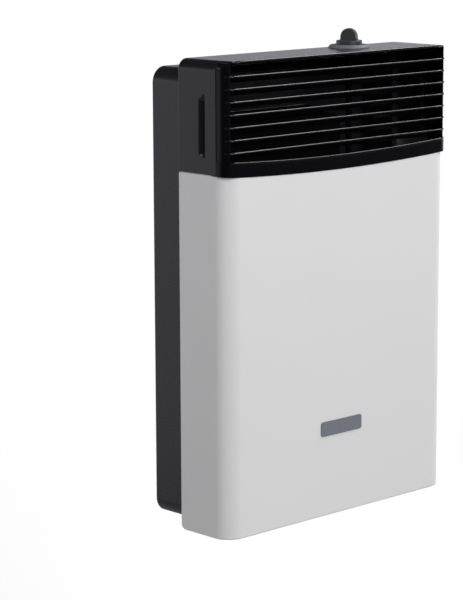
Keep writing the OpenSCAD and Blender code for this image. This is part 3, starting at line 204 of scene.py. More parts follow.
# Knob, bezel and the two dashes beside them
KNOB_X = (bezel_box[0].x + bezel_box[1].x) / 2 / MM
KNOB_D = -(bezel_box[0].y + bezel_box[1].y) / 2 / MM
BEZEL_R = (bezel_box[1].x - bezel_box[0].x) / 2 / MM
BEZEL_H = (bezel_box[1].z - bezel_box[0].z) / MM
BEZEL_SHOULDER_IN = 0.7
BEZEL_SHOULDER_SHARE = 0.42
BEZEL_TOP_IN = 3.4
BEZEL_ROUNDS = [0, 0.25, 0.9, 1.6, 0.5]
KNOB_R = 17.0
KNOB_GAP = 0.4
KNOB_FOOT_Z = (knob_box[0].z - BASE_Z) / MM
KNOB_TOP_Z = (knob_box[1].z - BASE_Z) / MM
KNOB_BORE_R = 4.05
KNOB_BORE_H = 8.5
KNOB_ROUNDS = [0, 0.4, 1.4, 0, 0, 0]
KNOB_TURN = radians(22)
GRIP_L = 22.0
GRIP_H = 15.5
GRIP_T = 10.0
GRIP_TOP_T = 7.0
GRIP_EDGE_R = 1.3
GRIP_SINK = 0.6
KNOB_BASE_Z = KNOB_TOP_Z - GRIP_H
DASHES = ((33.0, 45.5), (24.0, 28.5))
DASH_REAR_D = 83.4
DASH_FRONT_D = 85.6
DASH_SOFT = 0.2
DASH_SKIN_LOW = 0.6
DASH_SKIN_HIGH = 0.4


def place(x, depth, height):
    """A point in the frame from millimetres: across, out from the wall, and above the cover's bottom edge."""
    return Vector((x * MM, -depth * MM, BASE_Z + height * MM))


# ---- Materials ----


class Shading:
    """A node tree with short calls for its nodes."""

    def __init__(self, tree):
        self.tree = tree

    def node(self, kind, **settings):
        made = self.tree.nodes.new(kind)
        for key, value in settings.items():
            setattr(made, key, value)
        return made

    def link(self, source, target):
        self.tree.links.new(source, target)

    def maths(self, operation, *values):
        made = self.node("ShaderNodeMath", operation=operation)
        for socket, value in zip(made.inputs, values):
            if isinstance(value, float):
                socket.default_value = value
            else:
                self.link(value, socket)
        return made.outputs[0]

    def spread(self, factor, low, high, start=0.3, stop=0.7, **settings):
        """Low where the factor is at start, high where it is at stop, and even steps between."""
        made = self.node("ShaderNodeMapRange", **settings)
        for key, value in (("From Min", start), ("From Max", stop), ("To Min", low), ("To Max", high)):
            made.inputs[key].default_value = value
        self.link(factor, made.inputs["Value"])
        return made.outputs["Result"]

    def split(self, vector):
        made = self.node("ShaderNodeSeparateXYZ")
        self.link(vector, made.inputs["Vector"])
        return made.outputs

    def mixed(self, factor, first, second):
        """The first shader where the factor is 0, and the second where it is 1."""
        made = self.node("ShaderNodeMixShader")
        self.link(factor, made.inputs["Fac"])
        self.link(first, made.inputs[1])
        self.link(second, made.inputs[2])
        return made.outputs[0]

    def seen_plainly(self, path):
        """1 for rays straight from the camera or through glass."""
        return self.maths("MAXIMUM", path.outputs["Is Camera Ray"], path.outputs["Is Transmission Ray"])


class Look(Shading):
    """A Principled material with short calls for its textures."""

    def __init__(self, name):
        self.material = bpy.data.materials.new(name)
        self.material.use_nodes = True
        super().__init__(self.material.node_tree)
        self.shader = self.tree.nodes["Principled BSDF"]
        self.coords = self.node("ShaderNodeTexCoord").outputs["Object"]

    def set(self, **values):
        for key, value in values.items():
            self.shader.inputs[key.replace("_", " ")].default_value = value

    def feed(self, source, socket):
        self.link(source, self.shader.inputs[socket])

    def stretched(self, scale):
        mapping = self.node("ShaderNodeMapping")
        mapping.inputs["Scale"].default_value = scale
        self.link(self.coords, mapping.inputs["Vector"])
        return mapping.outputs["Vector"]

    def noise(self, scale, detail=2.0, rough=0.5, coords=None):
        made = self.node("ShaderNodeTexNoise")
        made.inputs["Scale"].default_value = scale
        made.inputs["Detail"].default_value = detail
        made.inputs["Roughness"].default_value = rough
        self.link(coords or self.coords, made.inputs["Vector"])
        return made.outputs["Fac"]

    def tones(self, factor, dark, light, start=0.3, stop=0.7):
        made = self.node("ShaderNodeValToRGB")
        first, last = made.color_ramp.elements
        first.position, last.position = start, stop
        first.color, last.color = (*dark, 1), (*light, 1)
        self.link(factor, made.inputs["Fac"])
        return made.outputs["Color"]

    def bump(self, height, strength, distance, before=None):
        made = self.node("ShaderNodeBump")
        made.inputs["Strength"].default_value = strength
        made.inputs["Distance"].default_value = distance
        self.link(height, made.inputs["Height"])
        if before:
            self.link(before, made.inputs["Normal"])
        return made.outputs["Normal"]


def around(colour, amount):
    """A colour a little darker and a little lighter."""
    return [c * (1 - amount) for c in colour], [min(c * (1 + amount), 1) for c in colour]


def paint(name, colour, rough, gloss, mottle=0.03, grain_depth=0.00004, peel=0.0):
    """Paint on sheet metal: a faint mottle, a fine grain and, where it flowed out, orange peel."""
    look = Look(name)
    look.set(Specular_IOR_Level=gloss)
    cloud = look.noise(scale=9.0, detail=3.0)
    fine = look.noise(scale=900.0)
    look.feed(look.tones(cloud, *around(colour, mottle)), "Base Color")
    look.feed(look.spread(fine, rough - 0.04, rough + 0.04), "Roughness")
    normal = look.bump(fine, strength=0.35, distance=grain_depth)
    if peel:
        normal = look.bump(look.noise(scale=160.0, detail=1.0), strength=peel, distance=0.0001, before=normal)
    look.feed(normal, "Normal")
    return look


def metal(name, colour, rough, mottle=0.08, scale=60.0, grain=(1, 1, 1), grain_scale=700.0, metallic=1.0):
    """Bare or plated metal with a cloudy tone and a fine directional grain."""
    look = Look(name)
    look.set(Metallic=metallic)
    cloud = look.noise(scale, detail=4.0, rough=0.6)
    streaks = look.noise(grain_scale, rough=0.6, coords=look.stretched(grain))
    look.feed(look.tones(cloud, *around(colour, mottle)), "Base Color")
    look.feed(look.spread(streaks, rough - 0.07, rough + 0.07), "Roughness")
    look.feed(look.bump(streaks, strength=0.2, distance=0.00003), "Normal")
    return look


def spangled(name, colour, rough):
    """Zinc-plated steel: pale, with a faint crystal pattern."""
    look = metal(name, colour, rough)
    cells = look.node("ShaderNodeTexVoronoi")
    cells.inputs["Scale"].default_value = 220.0
    look.link(look.coords, cells.inputs["Vector"])
    channels = look.node("ShaderNodeSeparateColor")
    look.link(cells.outputs["Color"], channels.inputs["Color"])
    crystals = look.tones(channels.outputs["Red"], *around(colour, 0.07), start=0.0, stop=1.0)
    look.feed(crystals, "Base Color")
    return look


def rough_solid(name, colour, rough, mottle, scale, depth, gloss=0.3):
    """Fibre, rubber, cast plastic or ceramic: a mottled tone over a rough or smooth skin."""
    look = Look(name)
    look.set(Specular_IOR_Level=gloss)
    cloud = look.noise(scale, detail=5.0, rough=0.65)
    look.feed(look.tones(cloud, *around(colour, mottle)), "Base Color")
    look.feed(look.spread(cloud, rough - 0.05, min(rough + 0.05, 1.0)), "Roughness")
    look.feed(look.bump(cloud, strength=0.5, distance=depth), "Normal")
    return look


def mask_box(look, x, y, soft):
    """1 inside a rectangle of the frame's X and Y, in metres, and 0 outside it."""
    axes = look.split(look.coords)
    parts = []
    for axis, (low, high) in (("X", x), ("Y", y)):
        away = look.maths("SUBTRACT", axes[axis], (low + high) / 2)
        half = (high - low) / 2
        parts.append(look.spread(look.maths("ABSOLUTE", away), 1.0, 0.0, half - soft, half + soft))
    return look.maths("MULTIPLY", *parts)


def hood_look():
    """The hood's satin paint, with two plain printed dashes beside the knob."""
    look = paint("hood_paint", (0.0112, 0.0106, 0.0150), 0.24, 0.40, grain_depth=0.00003, peel=0.05)
    across_dash = (-DASH_FRONT_D * MM, -DASH_REAR_D * MM)
    boxes = [mask_box(look, (left * MM, right * MM), across_dash, DASH_SOFT * MM) for left, right in DASHES]
    marks = look.maths("MAXIMUM", *boxes)
    skin_low, skin_high = hood_box[1].z - DASH_SKIN_LOW * MM, hood_box[1].z - DASH_SKIN_HIGH * MM
    on_top = look.spread(look.split(look.coords)["Z"], 0.0, 1.0, skin_low, skin_high)
    shown = look.maths("MULTIPLY", marks, on_top)
    mix = look.node("ShaderNodeMix", data_type="RGBA")
    paint_tone = look.shader.inputs["Base Color"].links[0].from_socket
    look.link(shown, mix.inputs["Factor"])
    look.link(paint_tone, mix.inputs["A"])
    mix.inputs["B"].default_value = (0.006, 0.006, 0.007, 1)
    look.feed(mix.outputs["Result"], "Base Color")
    look.feed(look.spread(shown, low=0.40, high=0.03, start=0.0, stop=1.0), "Specular IOR Level")
    look.set(Specular_Tint=(0.94, 0.91, 1.0, 1))
    return look


def grille_look():
    """The outlet's black paint, with a painted reflection: its specular level is low on the upright faces and
    rises on faces that look up, so these catch more of the bright surround.
    """
    look = paint("grille_paint", (0.0028, 0.0028, 0.0042), 0.24, 0.17,
                 mottle=0.1, grain_depth=0.00001, peel=0.03)
    # Painted reflection: the specular level follows how far each face looks up, so the top faces shine more.
    facing = look.split(look.node("ShaderNodeNewGeometry").outputs["Normal"])
    look.feed(look.spread(facing["Z"], low=0.17, high=0.42, start=0.3, stop=0.8), "Specular IOR Level")
    return look


def glass_look():
    look = rough_solid("clear_glass", (0.86, 0.92, 0.92), rough=0.06, mottle=0.02, scale=120.0,
                       depth=0.00001, gloss=0.5)
    look.set(Transmission_Weight=0.92, IOR=1.47)
    return look


looks = {
    "casing_paint": paint("casing_paint", (0.0145, 0.0138, 0.0185), rough=0.28, gloss=0.45, mottle=0.05),
    "hood_paint": hood_look(),
    "grille_paint": grille_look(),
    "louvre_paint": paint("louvre_paint", (0.0035, 0.0035, 0.0045), rough=0.24, gloss=0.55,
                          mottle=0.1, grain_depth=0.00001),
    "panel_enamel": paint("panel_enamel", (0.80, 0.80, 0.805), rough=0.33, gloss=0.3,
                          mottle=0.006, grain_depth=0.00001, peel=0.06),
    "badge_metal": metal("badge_metal", (0.245, 0.262, 0.298), rough=0.5, mottle=0.05, scale=300.0,
                         grain=(0.02, 1, 1), grain_scale=900.0, metallic=0.35),
    "bezel_plastic": rough_solid("bezel_plastic", (0.150, 0.158, 0.178), rough=0.52, mottle=0.04,
                                 scale=1400.0, depth=0.00002, gloss=0.5),
    "knob_plastic": rough_solid("knob_plastic", (0.040, 0.041, 0.046), rough=0.34, mottle=0.05,
                                scale=1400.0, depth=0.00002, gloss=0.5),
    # Black enamel, darkened further to near black as painted shade for the inside seen through the louvres.
    "chamber_enamel": rough_solid("chamber_enamel", (0.003, 0.003, 0.003), rough=0.6, mottle=0.2,
                                  scale=45.0, depth=0.00005, gloss=0.03),
    "zinc_steel": spangled("zinc_steel", (0.60, 0.61, 0.63), rough=0.36),
    # Blackened steel, darkened further to near black as painted shade for the pieces seen through the
    # louvres.
    "black_oxide": rough_solid("black_oxide", (0.003, 0.003, 0.0035), rough=0.6, mottle=0.15,
                               scale=260.0, depth=0.00002, gloss=0.03),
    "valve_alloy": metal("valve_alloy", (0.56, 0.57, 0.58), rough=0.5, mottle=0.06, scale=90.0,
                         grain_scale=500.0),
    "brass": metal("brass", (0.70, 0.52, 0.24), rough=0.3, mottle=0.1, scale=80.0, grain=(1, 1, 6)),
    "copper": metal("copper", (0.72, 0.36, 0.22), rough=0.32, mottle=0.14, scale=50.0, grain=(1, 1, 0.2)),
    "seal_fibre": rough_solid("seal_fibre", (0.62, 0.60, 0.54), rough=0.9, mottle=0.12,
                              scale=500.0, depth=0.0003, gloss=0.1),
    "ceramic": rough_solid("ceramic", (0.82, 0.80, 0.76), rough=0.18, mottle=0.02,
                           scale=60.0, depth=0.00001, gloss=0.5),
    "clear_glass": glass_look(),
    "igniter_plastic": rough_solid("igniter_plastic", (0.02, 0.02, 0.021), rough=0.45, mottle=0.1,
                                   scale=900.0, depth=0.00002),
    "lead_rubber": rough_solid("lead_rubber", (0.018, 0.018, 0.018), rough=0.6, mottle=0.12,
                               scale=700.0, depth=0.00003),
}


# ---- Meshes ----

MERGE = 0.000002
CAD_MERGE = 0.00001


def quarter(steps, first=0):
    """Angles that divide a quarter turn."""
    return [pi / 2 * i / steps for i in range(first, steps + 1)]


def evenly(stop, count):
    """Places from 0 up to but not at the stop."""
    return [i * stop / count for i in range(count)]


def loft(bm, rings):
    """Closed rings of points joined one after another, with a face on each end."""
    rows = [[bm.verts.new(p) for p in ring] for ring in rings]
    count = len(rows[0])
    for row, after in zip(rows, rows[1:]):
        for k in range(count):
            bm.faces.new((row[k], row[(k + 1) % count], after[(k + 1) % count], after[k]))
    bm.faces.new(rows[0][::-1])
    bm.faces.new(rows[-1])


def turned(bm, outline, x, depth, steps=128):
    """A closed outline of (radius, height) turned about an upright axis."""
    rows = []
    for i in range(steps):
        angle = 2 * pi * i / steps
        rows.append([bm.verts.new(place(x + r * cos(angle), depth + r * sin(angle), z)) for r, z in outline])
    count = len(outline)
    for i in range(steps):
        row, after = rows[i], rows[(i + 1) % steps]
        for k in range(count):
            bm.faces.new((row[k], row[(k + 1) % count], after[(k + 1) % count], after[k]))


def corner(points, index, radius, steps):
    """The points that round one corner of a closed outline."""
    tip = Vector(points[index])
    back = (Vector(points[index - 1]) - tip).normalized()
    ahead = (Vector(points[(index + 1) % len(points)]) - tip).normalized()
    half = back.angle(ahead) / 2
    reach = radius / max(sin(half) / cos(half), 1e-6)
    centre = tip + (back + ahead).normalized() * (radius / sin(half))
    start, stop = tip + back * reach - centre, tip + ahead * reach - centre
    total = start.angle(stop)
    made = []
    for i in range(steps + 1):
        share = i / steps
        way = (start * sin((1 - share) * total) + stop * sin(share * total)) / sin(total)
        made.append(tuple(centre + way))
    return made


def rounded(points, radii, steps):
    """A closed outline with its corners rounded; a radius of 0 keeps a corner."""
    made = []
    for i, radius in enumerate(radii):
        made += corner(points, i, radius, steps) if radius else [tuple(points[i])]
    return made


def mesh_object(name, bm):
    """An object in the scene with the mesh that the bmesh holds."""
    mesh = bpy.data.meshes.new(name)
    bm.to_mesh(mesh)
    bm.free()
    made = bpy.data.objects.new(name, mesh)
    bpy.context.scene.collection.objects.link(made)
    return made


def smooth_faces(mesh):
    for face in mesh.polygons:
        face.use_smooth = True


def even_shading(piece, weight):
    normals = piece.modifiers.new("normals", "WEIGHTED_NORMAL")
    normals.weight = weight
    return normals


def finish_piece(name, bm, slot, replaced, body="heater", look=None):
    """A visible piece with its look, riding on its body and standing for the CAD nodes it replaces."""
    bmesh.ops.remove_doubles(bm, verts=bm.verts, dist=MERGE)
    bmesh.ops.dissolve_degenerate(bm, edges=bm.edges, dist=MERGE)
    bmesh.ops.recalc_face_normals(bm, faces=bm.faces)
    piece = mesh_object(name, bm)
    smooth_faces(piece.data)
    piece.data.materials.append(looks[look or slot].material)
    even_shading(piece, weight=80)
    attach(piece, body)
    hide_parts(*replaced)
    return piece


# A station is a place on an outline with its outward direction. It is made of pairs of values, and the first
# of each pair runs across the cover.


def half_plan(side, front, radius, flat, angles, back):
    """Stations (x, depth, out x, out depth) from the middle of the front round the right corner."""
    made = [(x, front, 0.0, 1.0) for x in flat]
    for a in angles:
        made.append((side - radius + radius * sin(a), front - radius + radius * cos(a), sin(a), cos(a)))
    made += [(side, depth, 1.0, 0.0) for depth in back]
    return made


def both_halves(half):
    """The half's stations mirrored to the left, then the half itself."""
    left = [tuple(-v if i % 2 == 0 else v for i, v in enumerate(station)) for station in reversed(half)]
    return left + [station for station in half if station[0] > 1e-9]


def inward(station, inset, height):
    """The point this far inside a station of a plan, at this height."""
    x, depth, out_x, out_d = station
    return place(x - out_x * inset, depth - out_d * inset, height)


# ---- White front panel: one pressed sheet with rolled edges ----


def panel_stations():
    flat = evenly(HALF_W - PANEL_CORNER_R, 24)
    heel_run = PANEL_HEEL_R - PANEL_BEND_R
    heel = [COVER_REAR + PANEL_BEND_R + heel_run * i / 8 for i in range(8, -1, -1)]
    half = half_plan(HALF_W, COVER_D, PANEL_CORNER_R, flat, quarter(16), PANEL_SIDE_DEPTHS + heel)
    bend = PANEL_BEND_R
    for a in quarter(6, first=1):
        half.append((HALF_W - bend + bend * cos(a), COVER_REAR + bend - bend * sin(a), cos(a), -sin(a)))
    half.append((HALF_W - PANEL_REAR_FOLD, COVER_REAR, 0.0, -1.0))
    return both_halves(half)


def joint_z(x):
    """The height of the panel's curved top edge."""
    return JOINT_MID_Z + JOINT_R - sqrt(JOINT_R ** 2 - x ** 2)


def heel_z(depth):
    """The height of the panel's lower edge, which rises in a round heel at the rear."""
    reach = COVER_REAR + PANEL_HEEL_R - depth
    return PANEL_HEEL_R - sqrt(max(PANEL_HEEL_R ** 2 - reach ** 2, 0.0)) if reach > 0 else 0.0


def panel_section(station):
    """The sheet's closed section at one station, from the top's inner edge down the outside and back up."""
    x, depth = station[:2]
    top, low = joint_z(x), heel_z(depth)
    edge, sheet, row = PANEL_EDGE_R, PANEL_SHEET, PANEL_ROW_OFFSET
    fold_d = COVER_D - PANEL_BOTTOM_FOLD
    bend = PANEL_BOTTOM_BEND if depth > fold_d else PANEL_PLAIN_EDGE
    outside = [(sheet, top - PANEL_TOP_INNER_DROP), (edge + PANEL_TOP_FLAT, top)]
    outside += [(edge - edge * sin(a), top - edge + edge * cos(a)) for a in quarter(5)]
    outside += [(0, top - PANEL_TOP_ROW), (0, top - row), (0, low + row), (0, low + PANEL_FOOT_ROW)]
    outside += [(bend - bend * cos(a), low + bend - bend * sin(a)) for a in quarter(5)]
    fold = []
    if depth > fold_d + PANEL_BOTTOM_BEND:
        fold = [place(x, fold_d, low), place(x, fold_d, low + sheet)]
        inside = [(PANEL_BOTTOM_BEND, low + sheet), (sheet, low + PANEL_BOTTOM_BEND)]
    else:
        inside = [(sheet * share, low + height) for share, height in PANEL_PLAIN_INNER]
    inside += [(sheet, low + row), (sheet, top - row)]
    return [inward(station, *p) for p in outside] + fold + [inward(station, *p) for p in inside]


def front_panel():
    bm = bmesh.new()
    loft(bm, [panel_section(station) for station in panel_stations()])
    finish_piece("front_panel_sheet", bm, "panel_enamel", ["front_panel"])


# ---- Louvres: a round-nosed strip that wraps round the posts, on a sloping blade ----


def nose_section(station, top):
    """The strip's section: deep across the window, and thin where it wraps round a post."""
    depth = NOSE_DEPTH if abs(station[0]) <= WINDOW_HALF_W + 1e-6 else NOSE_WRAP
    rounds = [0, min(NOSE_ROUND, depth * 0.9), NOSE_UNDER_ROUND, 0]
    outline = rounded([(depth, 0.0), (0.0, 0.0), (0.0, -NOSE_H), (depth, -NOSE_H)], rounds, 8)
    return [inward(station, inset, top + height) for inset, height in outline]


def louvre(number):
    node = f"louvre_{number}"
    top = (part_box(node)[1].z - BASE_Z) / MM
    inset = GRILLE_FRONT_D - NOSE_FRONT_D
    side, radius = GRILLE_HALF_W - inset, GRILLE_CORNER_R - inset
    end = asin((NOSE_REACH - NOSE_SHY - side + radius) / radius)
    turn = asin((WINDOW_HALF_W - side + radius) / radius)
    wrap = turn + NOSE_STEP_ANGLE
    angles = [turn * i / 4 for i in range(5)] + [wrap + (end - wrap) * i / 8 for i in range(9)]
    half = half_plan(side, NOSE_FRONT_D, radius, evenly(side - radius, 2), angles, [])
    bm = bmesh.new()
    loft(bm, [nose_section(station, top) for station in both_halves(half)])
    root, low = GRILLE_FRONT_D - BLADE_ROOT, top - NOSE_H
    rear, rear_low = root - BLADE_D, low - BLADE_FALL
    corners = [(root, low + BLADE_T), (root, low), (rear, rear_low), (rear, rear_low + BLADE_T)]
    blade = rounded(corners, [0, 0, BLADE_ROUND, BLADE_ROUND], 4)
    loft(bm, [[place(x, depth, z) for depth, z in blade] for x in (-WINDOW_HALF_W, WINDOW_HALF_W)])
    finish_piece(f"louvre_{number}_strip", bm, "grille_paint", [node], look="louvre_paint")


# ---- Outlet: the smooth rolled edges of its lip and of its top ----


def outlet_edge(name, height, reach):
    """A smooth bead along the outlet's edge, out to the reach, at the height the function gives across."""
    side, radius = GRILLE_HALF_W, GRILLE_CORNER_R
    half = half_plan(side, GRILLE_FRONT_D, radius, evenly(side - radius, 20), quarter(12), [BEAD_REAR_D])
    rings = []
    for x, depth, out_x, out_d in both_halves(half):
        if abs(x) > reach:
            continue
        # The bead fades out towards its ends, where it sinks just below the surface
        full = min(1.0, (reach - abs(x)) / BEAD_FADE)
        rise, skin = (full * (size + BEAD_SINK) - BEAD_SINK for size in (BEAD_RISE, BEAD_SKIN))
        corners = [(BEAD_WALL, rise), (-skin, rise), (-skin, -BEAD_H), (BEAD_WALL, -BEAD_H)]
        ring = []
        for inset, above in rounded(corners, [0, BEAD_ROUND, BEAD_UNDER_ROUND, 0], 8):
            across = max(-side, min(side, x - out_x * inset))
            ring.append(place(across, depth - out_d * inset, height(x) + above))
        rings.append(ring)
    bm = bmesh.new()
    loft(bm, rings)
    finish_piece(name, bm, "grille_paint", [], look="louvre_paint")


# ---- Hood: one shell with a rolled rear edge and a finger scoop in each side ----


def hood_stations():
    """Stations (x, z, out x, out z, fold x, fold z) over the hood, with the edge of its rear fold."""
    crown_r, side, top = HOOD_CROWN_R, HALF_W, COVER_H
    fold_r = HOOD_OPENING_R
    fold_x, fold_z = side - HOOD_REAR_FOLD, top - HOOD_WALL - HOOD_TOP_FOLD
    fold_side_z = fold_z - fold_r
    across = [(HOOD_TOP_STEP * i, HOOD_TOP_STEP * i) for i in range(HOOD_TOP_STEPS)]
    across += [(HOOD_SHOULDER_X, HOOD_SHOULDER_FOLD_X), (side - crown_r, fold_x - fold_r)]
    half = [(x, top, 0.0, 1.0, fold, fold_z) for x, fold in across]
    near, far = HANGER_X - HANGER_ROOM, HANGER_X + HANGER_ROOM
    for x, notch in ((near, 0), (near + NOTCH_WALL, 1), (far - NOTCH_WALL, 1), (far, 0)):
        half.append((x, top, 0.0, 1.0, x, fold_z + HANGER_NOTCH * notch))
    half.sort(key=lambda station: station[0])
    for a in quarter(12, first=1):
        half.append((side - crown_r + crown_r * sin(a), top - crown_r + crown_r * cos(a), sin(a), cos(a),
                     fold_x - fold_r + fold_r * sin(a), fold_side_z + fold_r * cos(a)))
    z = top - crown_r - HOOD_SIDE_STEP
    while z > SCOOP_TOP_Z + SCOOP_MARGIN:
        half.append((side, z, 1.0, 0.0, fold_x, min(z, fold_side_z)))
        z -= HOOD_SIDE_STEP
    z = SCOOP_TOP_Z + SCOOP_MARGIN
    while z > SCOOP_LOW_Z - SCOOP_MARGIN:
        half.append((side, z, 1.0, 0.0, fold_x, z))
        z -= SCOOP_STEP
    foot = (SCOOP_LOW_Z - SCOOP_MARGIN, HOOD_LOW_Z + HOOD_SIDE_STEP, HOOD_LOW_Z + HOOD_FOOT_STEP, HOOD_LOW_Z)
    half += [(side, z, 1.0, 0.0, fold_x, z) for z in foot]
    return both_halves(half)


def scoop(depth, z):
    """How far the side is pressed in here: a slope that deepens towards the front, then a steep wall."""
    ends = min((z - SCOOP_LOW_Z) / SCOOP_LOWER_END, (SCOOP_TOP_Z - z) / SCOOP_UPPER_END)
    if ends <= 0 or depth <= SCOOP_REAR_D or depth >= SCOOP_FRONT_D:
        return 0.0
    share = min(ends, 1.0)
    start = SCOOP_FRONT_D - (SCOOP_FRONT_D - SCOOP_REAR_D) * share
    run = (depth - start) / (SCOOP_FRONT_D - start)
    return SCOOP_DEPTH * share * run ** SCOOP_CURVE if run > 0 else 0.0


def hood_section(station):
    """The shell's closed section at one station: the outside from front to rear, the fold, the inside."""
    x, z, out_x, out_z, fold_x, fold_z = station
    roll, wall, lip = HOOD_ROLL, HOOD_WALL, HOOD_FRONT_ROUND
    on_side = abs(out_x) > 0.999
    scoop_run = SCOOP_FRONT_D - SCOOP_REAR_D
    depths = [SCOOP_REAR_D + scoop_run * i / SCOOP_COLUMNS for i in range(SCOOP_COLUMNS)]
    depths += [SCOOP_FRONT_D - SCOOP_WALL_HALF, SCOOP_FRONT_D + SCOOP_WALL_HALF]
    pressed = [(scoop(depth, z) if on_side else 0.0, depth) for depth in depths]

    outside = [(lip, HOOD_FRONT_D)]
    outside += [(lip * (1 - sin(a)), HOOD_FRONT_D - lip * (1 - cos(a))) for a in quarter(3, first=1)]
    outside += [(0, HOOD_FRONT_D - HOOD_FRONT_ROW)] + pressed[::-1]
    outside += [(0, HOOD_MID_D), (0, COVER_REAR + roll)]
    outside += [(roll * (1 - cos(a)), COVER_REAR + roll * (1 - sin(a))) for a in quarter(5, first=1)]
    fold = [place(fold_x, COVER_REAR, fold_z), place(fold_x, COVER_REAR + wall, fold_z)]
    inside = [(roll + HOOD_INNER_ROLL, COVER_REAR + wall), (wall, COVER_REAR + wall + HOOD_INNER_ROUND)]
    inside.append((wall, HOOD_MID_D))
    inside += [(wall + inset, depth) for inset, depth in pressed] + [(wall, HOOD_FRONT_D)]

    def at(inset, depth):
        return place(x - out_x * inset, depth, z - out_z * inset)

    return [at(*p) for p in outside] + fold + [at(*p) for p in inside]


def hood():
    bm = bmesh.new()
    loft(bm, [hood_section(station) for station in hood_stations()])
    shell = finish_piece("hood_shell", bm, "hood_paint", ["hood"])
    cut_round_hole(shell, KNOB_X, KNOB_D, KNOB_R + 2 * KNOB_GAP)
    shell.data.set_sharp_from_angle(angle=HOOD_SHARP_ANGLE)
    even_shading(shell, weight=90).keep_sharp = True


def cut_round_hole(piece, x, depth, radius, steps=96):
    """Cuts an upright round hole through the piece's top, and leaves the piece without modifiers."""
    bm = bmesh.new()
    turns = [2 * pi * i / steps for i in range(steps)]
    circle = [(x + radius * cos(a), depth + radius * sin(a)) for a in turns]
    loft(bm, [[place(*p, z) for p in circle] for z in (COVER_H - 3 * HOOD_WALL, COVER_H + HOOD_WALL)])
    bmesh.ops.recalc_face_normals(bm, faces=bm.faces)
    cutter = mesh_object("hole", bm)
    piece.modifiers.clear()
    cut = piece.modifiers.new("hole", "BOOLEAN")
    cut.object = cutter
    cut.solver = "EXACT"
    whole, cutter_mesh = piece.data, cutter.data
    evaluated = piece.evaluated_get(bpy.context.evaluated_depsgraph_get())
    piece.data = bpy.data.meshes.new_from_object(evaluated)
    piece.modifiers.clear()
    bpy.data.objects.remove(cutter)
    bpy.data.meshes.remove(whole)
    bpy.data.meshes.remove(cutter_mesh)


# ---- Knob and bezel ----


def bezel():
    bm = bmesh.new()
    inner = KNOB_R + KNOB_GAP
    shoulder = (BEZEL_R - BEZEL_SHOULDER_IN, BEZEL_SHOULDER_SHARE * BEZEL_H)
    outline = [(inner, 0), (BEZEL_R, 0), shoulder, (BEZEL_R - BEZEL_TOP_IN, BEZEL_H), (inner, BEZEL_H)]
    soft = rounded(outline, BEZEL_ROUNDS, 6)
    turned(bm, [(r, COVER_H + z) for r, z in soft], KNOB_X, KNOB_D)
    finish_piece("knob_bezel_ring", bm, "knob_plastic", ["knob_bezel"], look="bezel_plastic")


def knob_skirt(bm):
    """The round skirt, with the bore for the rod in its foot."""
    foot, bore_top = KNOB_FOOT_Z, KNOB_FOOT_Z + KNOB_BORE_H
    outline = [(KNOB_BORE_R, foot), (KNOB_R, foot), (KNOB_R, KNOB_BASE_Z)]
    outline += [(0.0, KNOB_BASE_Z), (0.0, bore_top), (KNOB_BORE_R, bore_top)]
    turned(bm, rounded(outline, KNOB_ROUNDS, 6), KNOB_X, KNOB_D)


def grip_outline(inset):
    """The grip's half-round face (along, height), this far inside its edge."""
    cap_r = GRIP_L / 2
    r, low, shoulder = cap_r - inset, KNOB_BASE_Z - GRIP_SINK, KNOB_TOP_Z - cap_r
    middle = (low + shoulder) / 2
    arc = [(r * cos(pi * i / 32), shoulder + r * sin(pi * i / 32)) for i in range(33)]
    return [(r, low), (r, middle)] + arc + [(-r, middle), (-r, low)]


def knob_grip(bm):
    """The grip: a half-round blade with soft edges, thinner at its top."""
    edge = GRIP_EDGE_R
    steps = [(edge - edge * cos(a), edge * sin(a)) for a in reversed(quarter(5))]
    levels = [(1, inset, out) for inset, out in steps] + [(-1, inset, out) for inset, out in reversed(steps)]
    rings = []
    for sign, inset, out in levels:
        ring = []
        for along, z in grip_outline(inset):
            share = (z - KNOB_BASE_Z) / GRIP_H
            half_t = (GRIP_T + (GRIP_TOP_T - GRIP_T) * share) / 2
            across = sign * (half_t - edge + out)
            x = across * cos(KNOB_TURN) - along * sin(KNOB_TURN)
            y = across * sin(KNOB_TURN) + along * cos(KNOB_TURN)
            ring.append(place(KNOB_X + x, KNOB_D - y, z))
        rings.append(ring)
    loft(bm, rings)


def knob():
    bm = bmesh.new()
    knob_skirt(bm)
    knob_grip(bm)
    finish_piece("knob_grip_and_skirt", bm, "knob_plastic", ["knob"], "knob_assembly")


# ---- Return spring ----


def return_spring():
    """The spring, from its own CAD mesh, as a piece with a mesh of its own."""
    node = nodes["return_spring"]
    bm = bmesh.new()
    bm.from_mesh(node.data)
    bm.transform(node.matrix_world)
    bmesh.ops.remove_doubles(bm, verts=bm.verts, dist=CAD_MERGE)
    coil = finish_piece("return_spring_coil", bm, slot_of["return_spring"], ["return_spring"])
    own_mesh(coil)


return_spring()
front_panel()
for number in range(1, LOUVRES + 1):
    louvre(number)
outlet_edge("grille_lip_edge", lambda x: joint_z(x) + LIP_GAP + LIP_H, GRILLE_HALF_W)
outlet_edge("grille_top_edge", lambda x: GRILLE_TOP_Z, GRILLE_HALF_W - HOOD_CROWN_R)
hood()
bezel()
knob()


# ---- Carried-over nodes: a material and soft edges ----

SOFT_EDGE = 0.3
SOFT_EDGES = {"rear_casing": 0.5, "grille_frame": 0.6, "badge_plate": 0.35}
SOFT_EDGE_ANGLE = radians(32)

for name, node in nodes.items():
    node.data.materials.clear()
    node.data.materials.append(looks[slot_of[name]].material)
    smooth_faces(node.data)
    weld = node.modifiers.new("weld", "WELD")
    weld.merge_threshold = CAD_MERGE
    soft = node.modifiers.new("soft_edges", "BEVEL")
    soft.width = SOFT_EDGES.get(name, SOFT_EDGE) * MM
    soft.segments = 3
    soft.limit_method = "ANGLE"
    soft.angle_limit = SOFT_EDGE_ANGLE
    even_shading(node, weight=100)


# ---- Studio, in metres ----

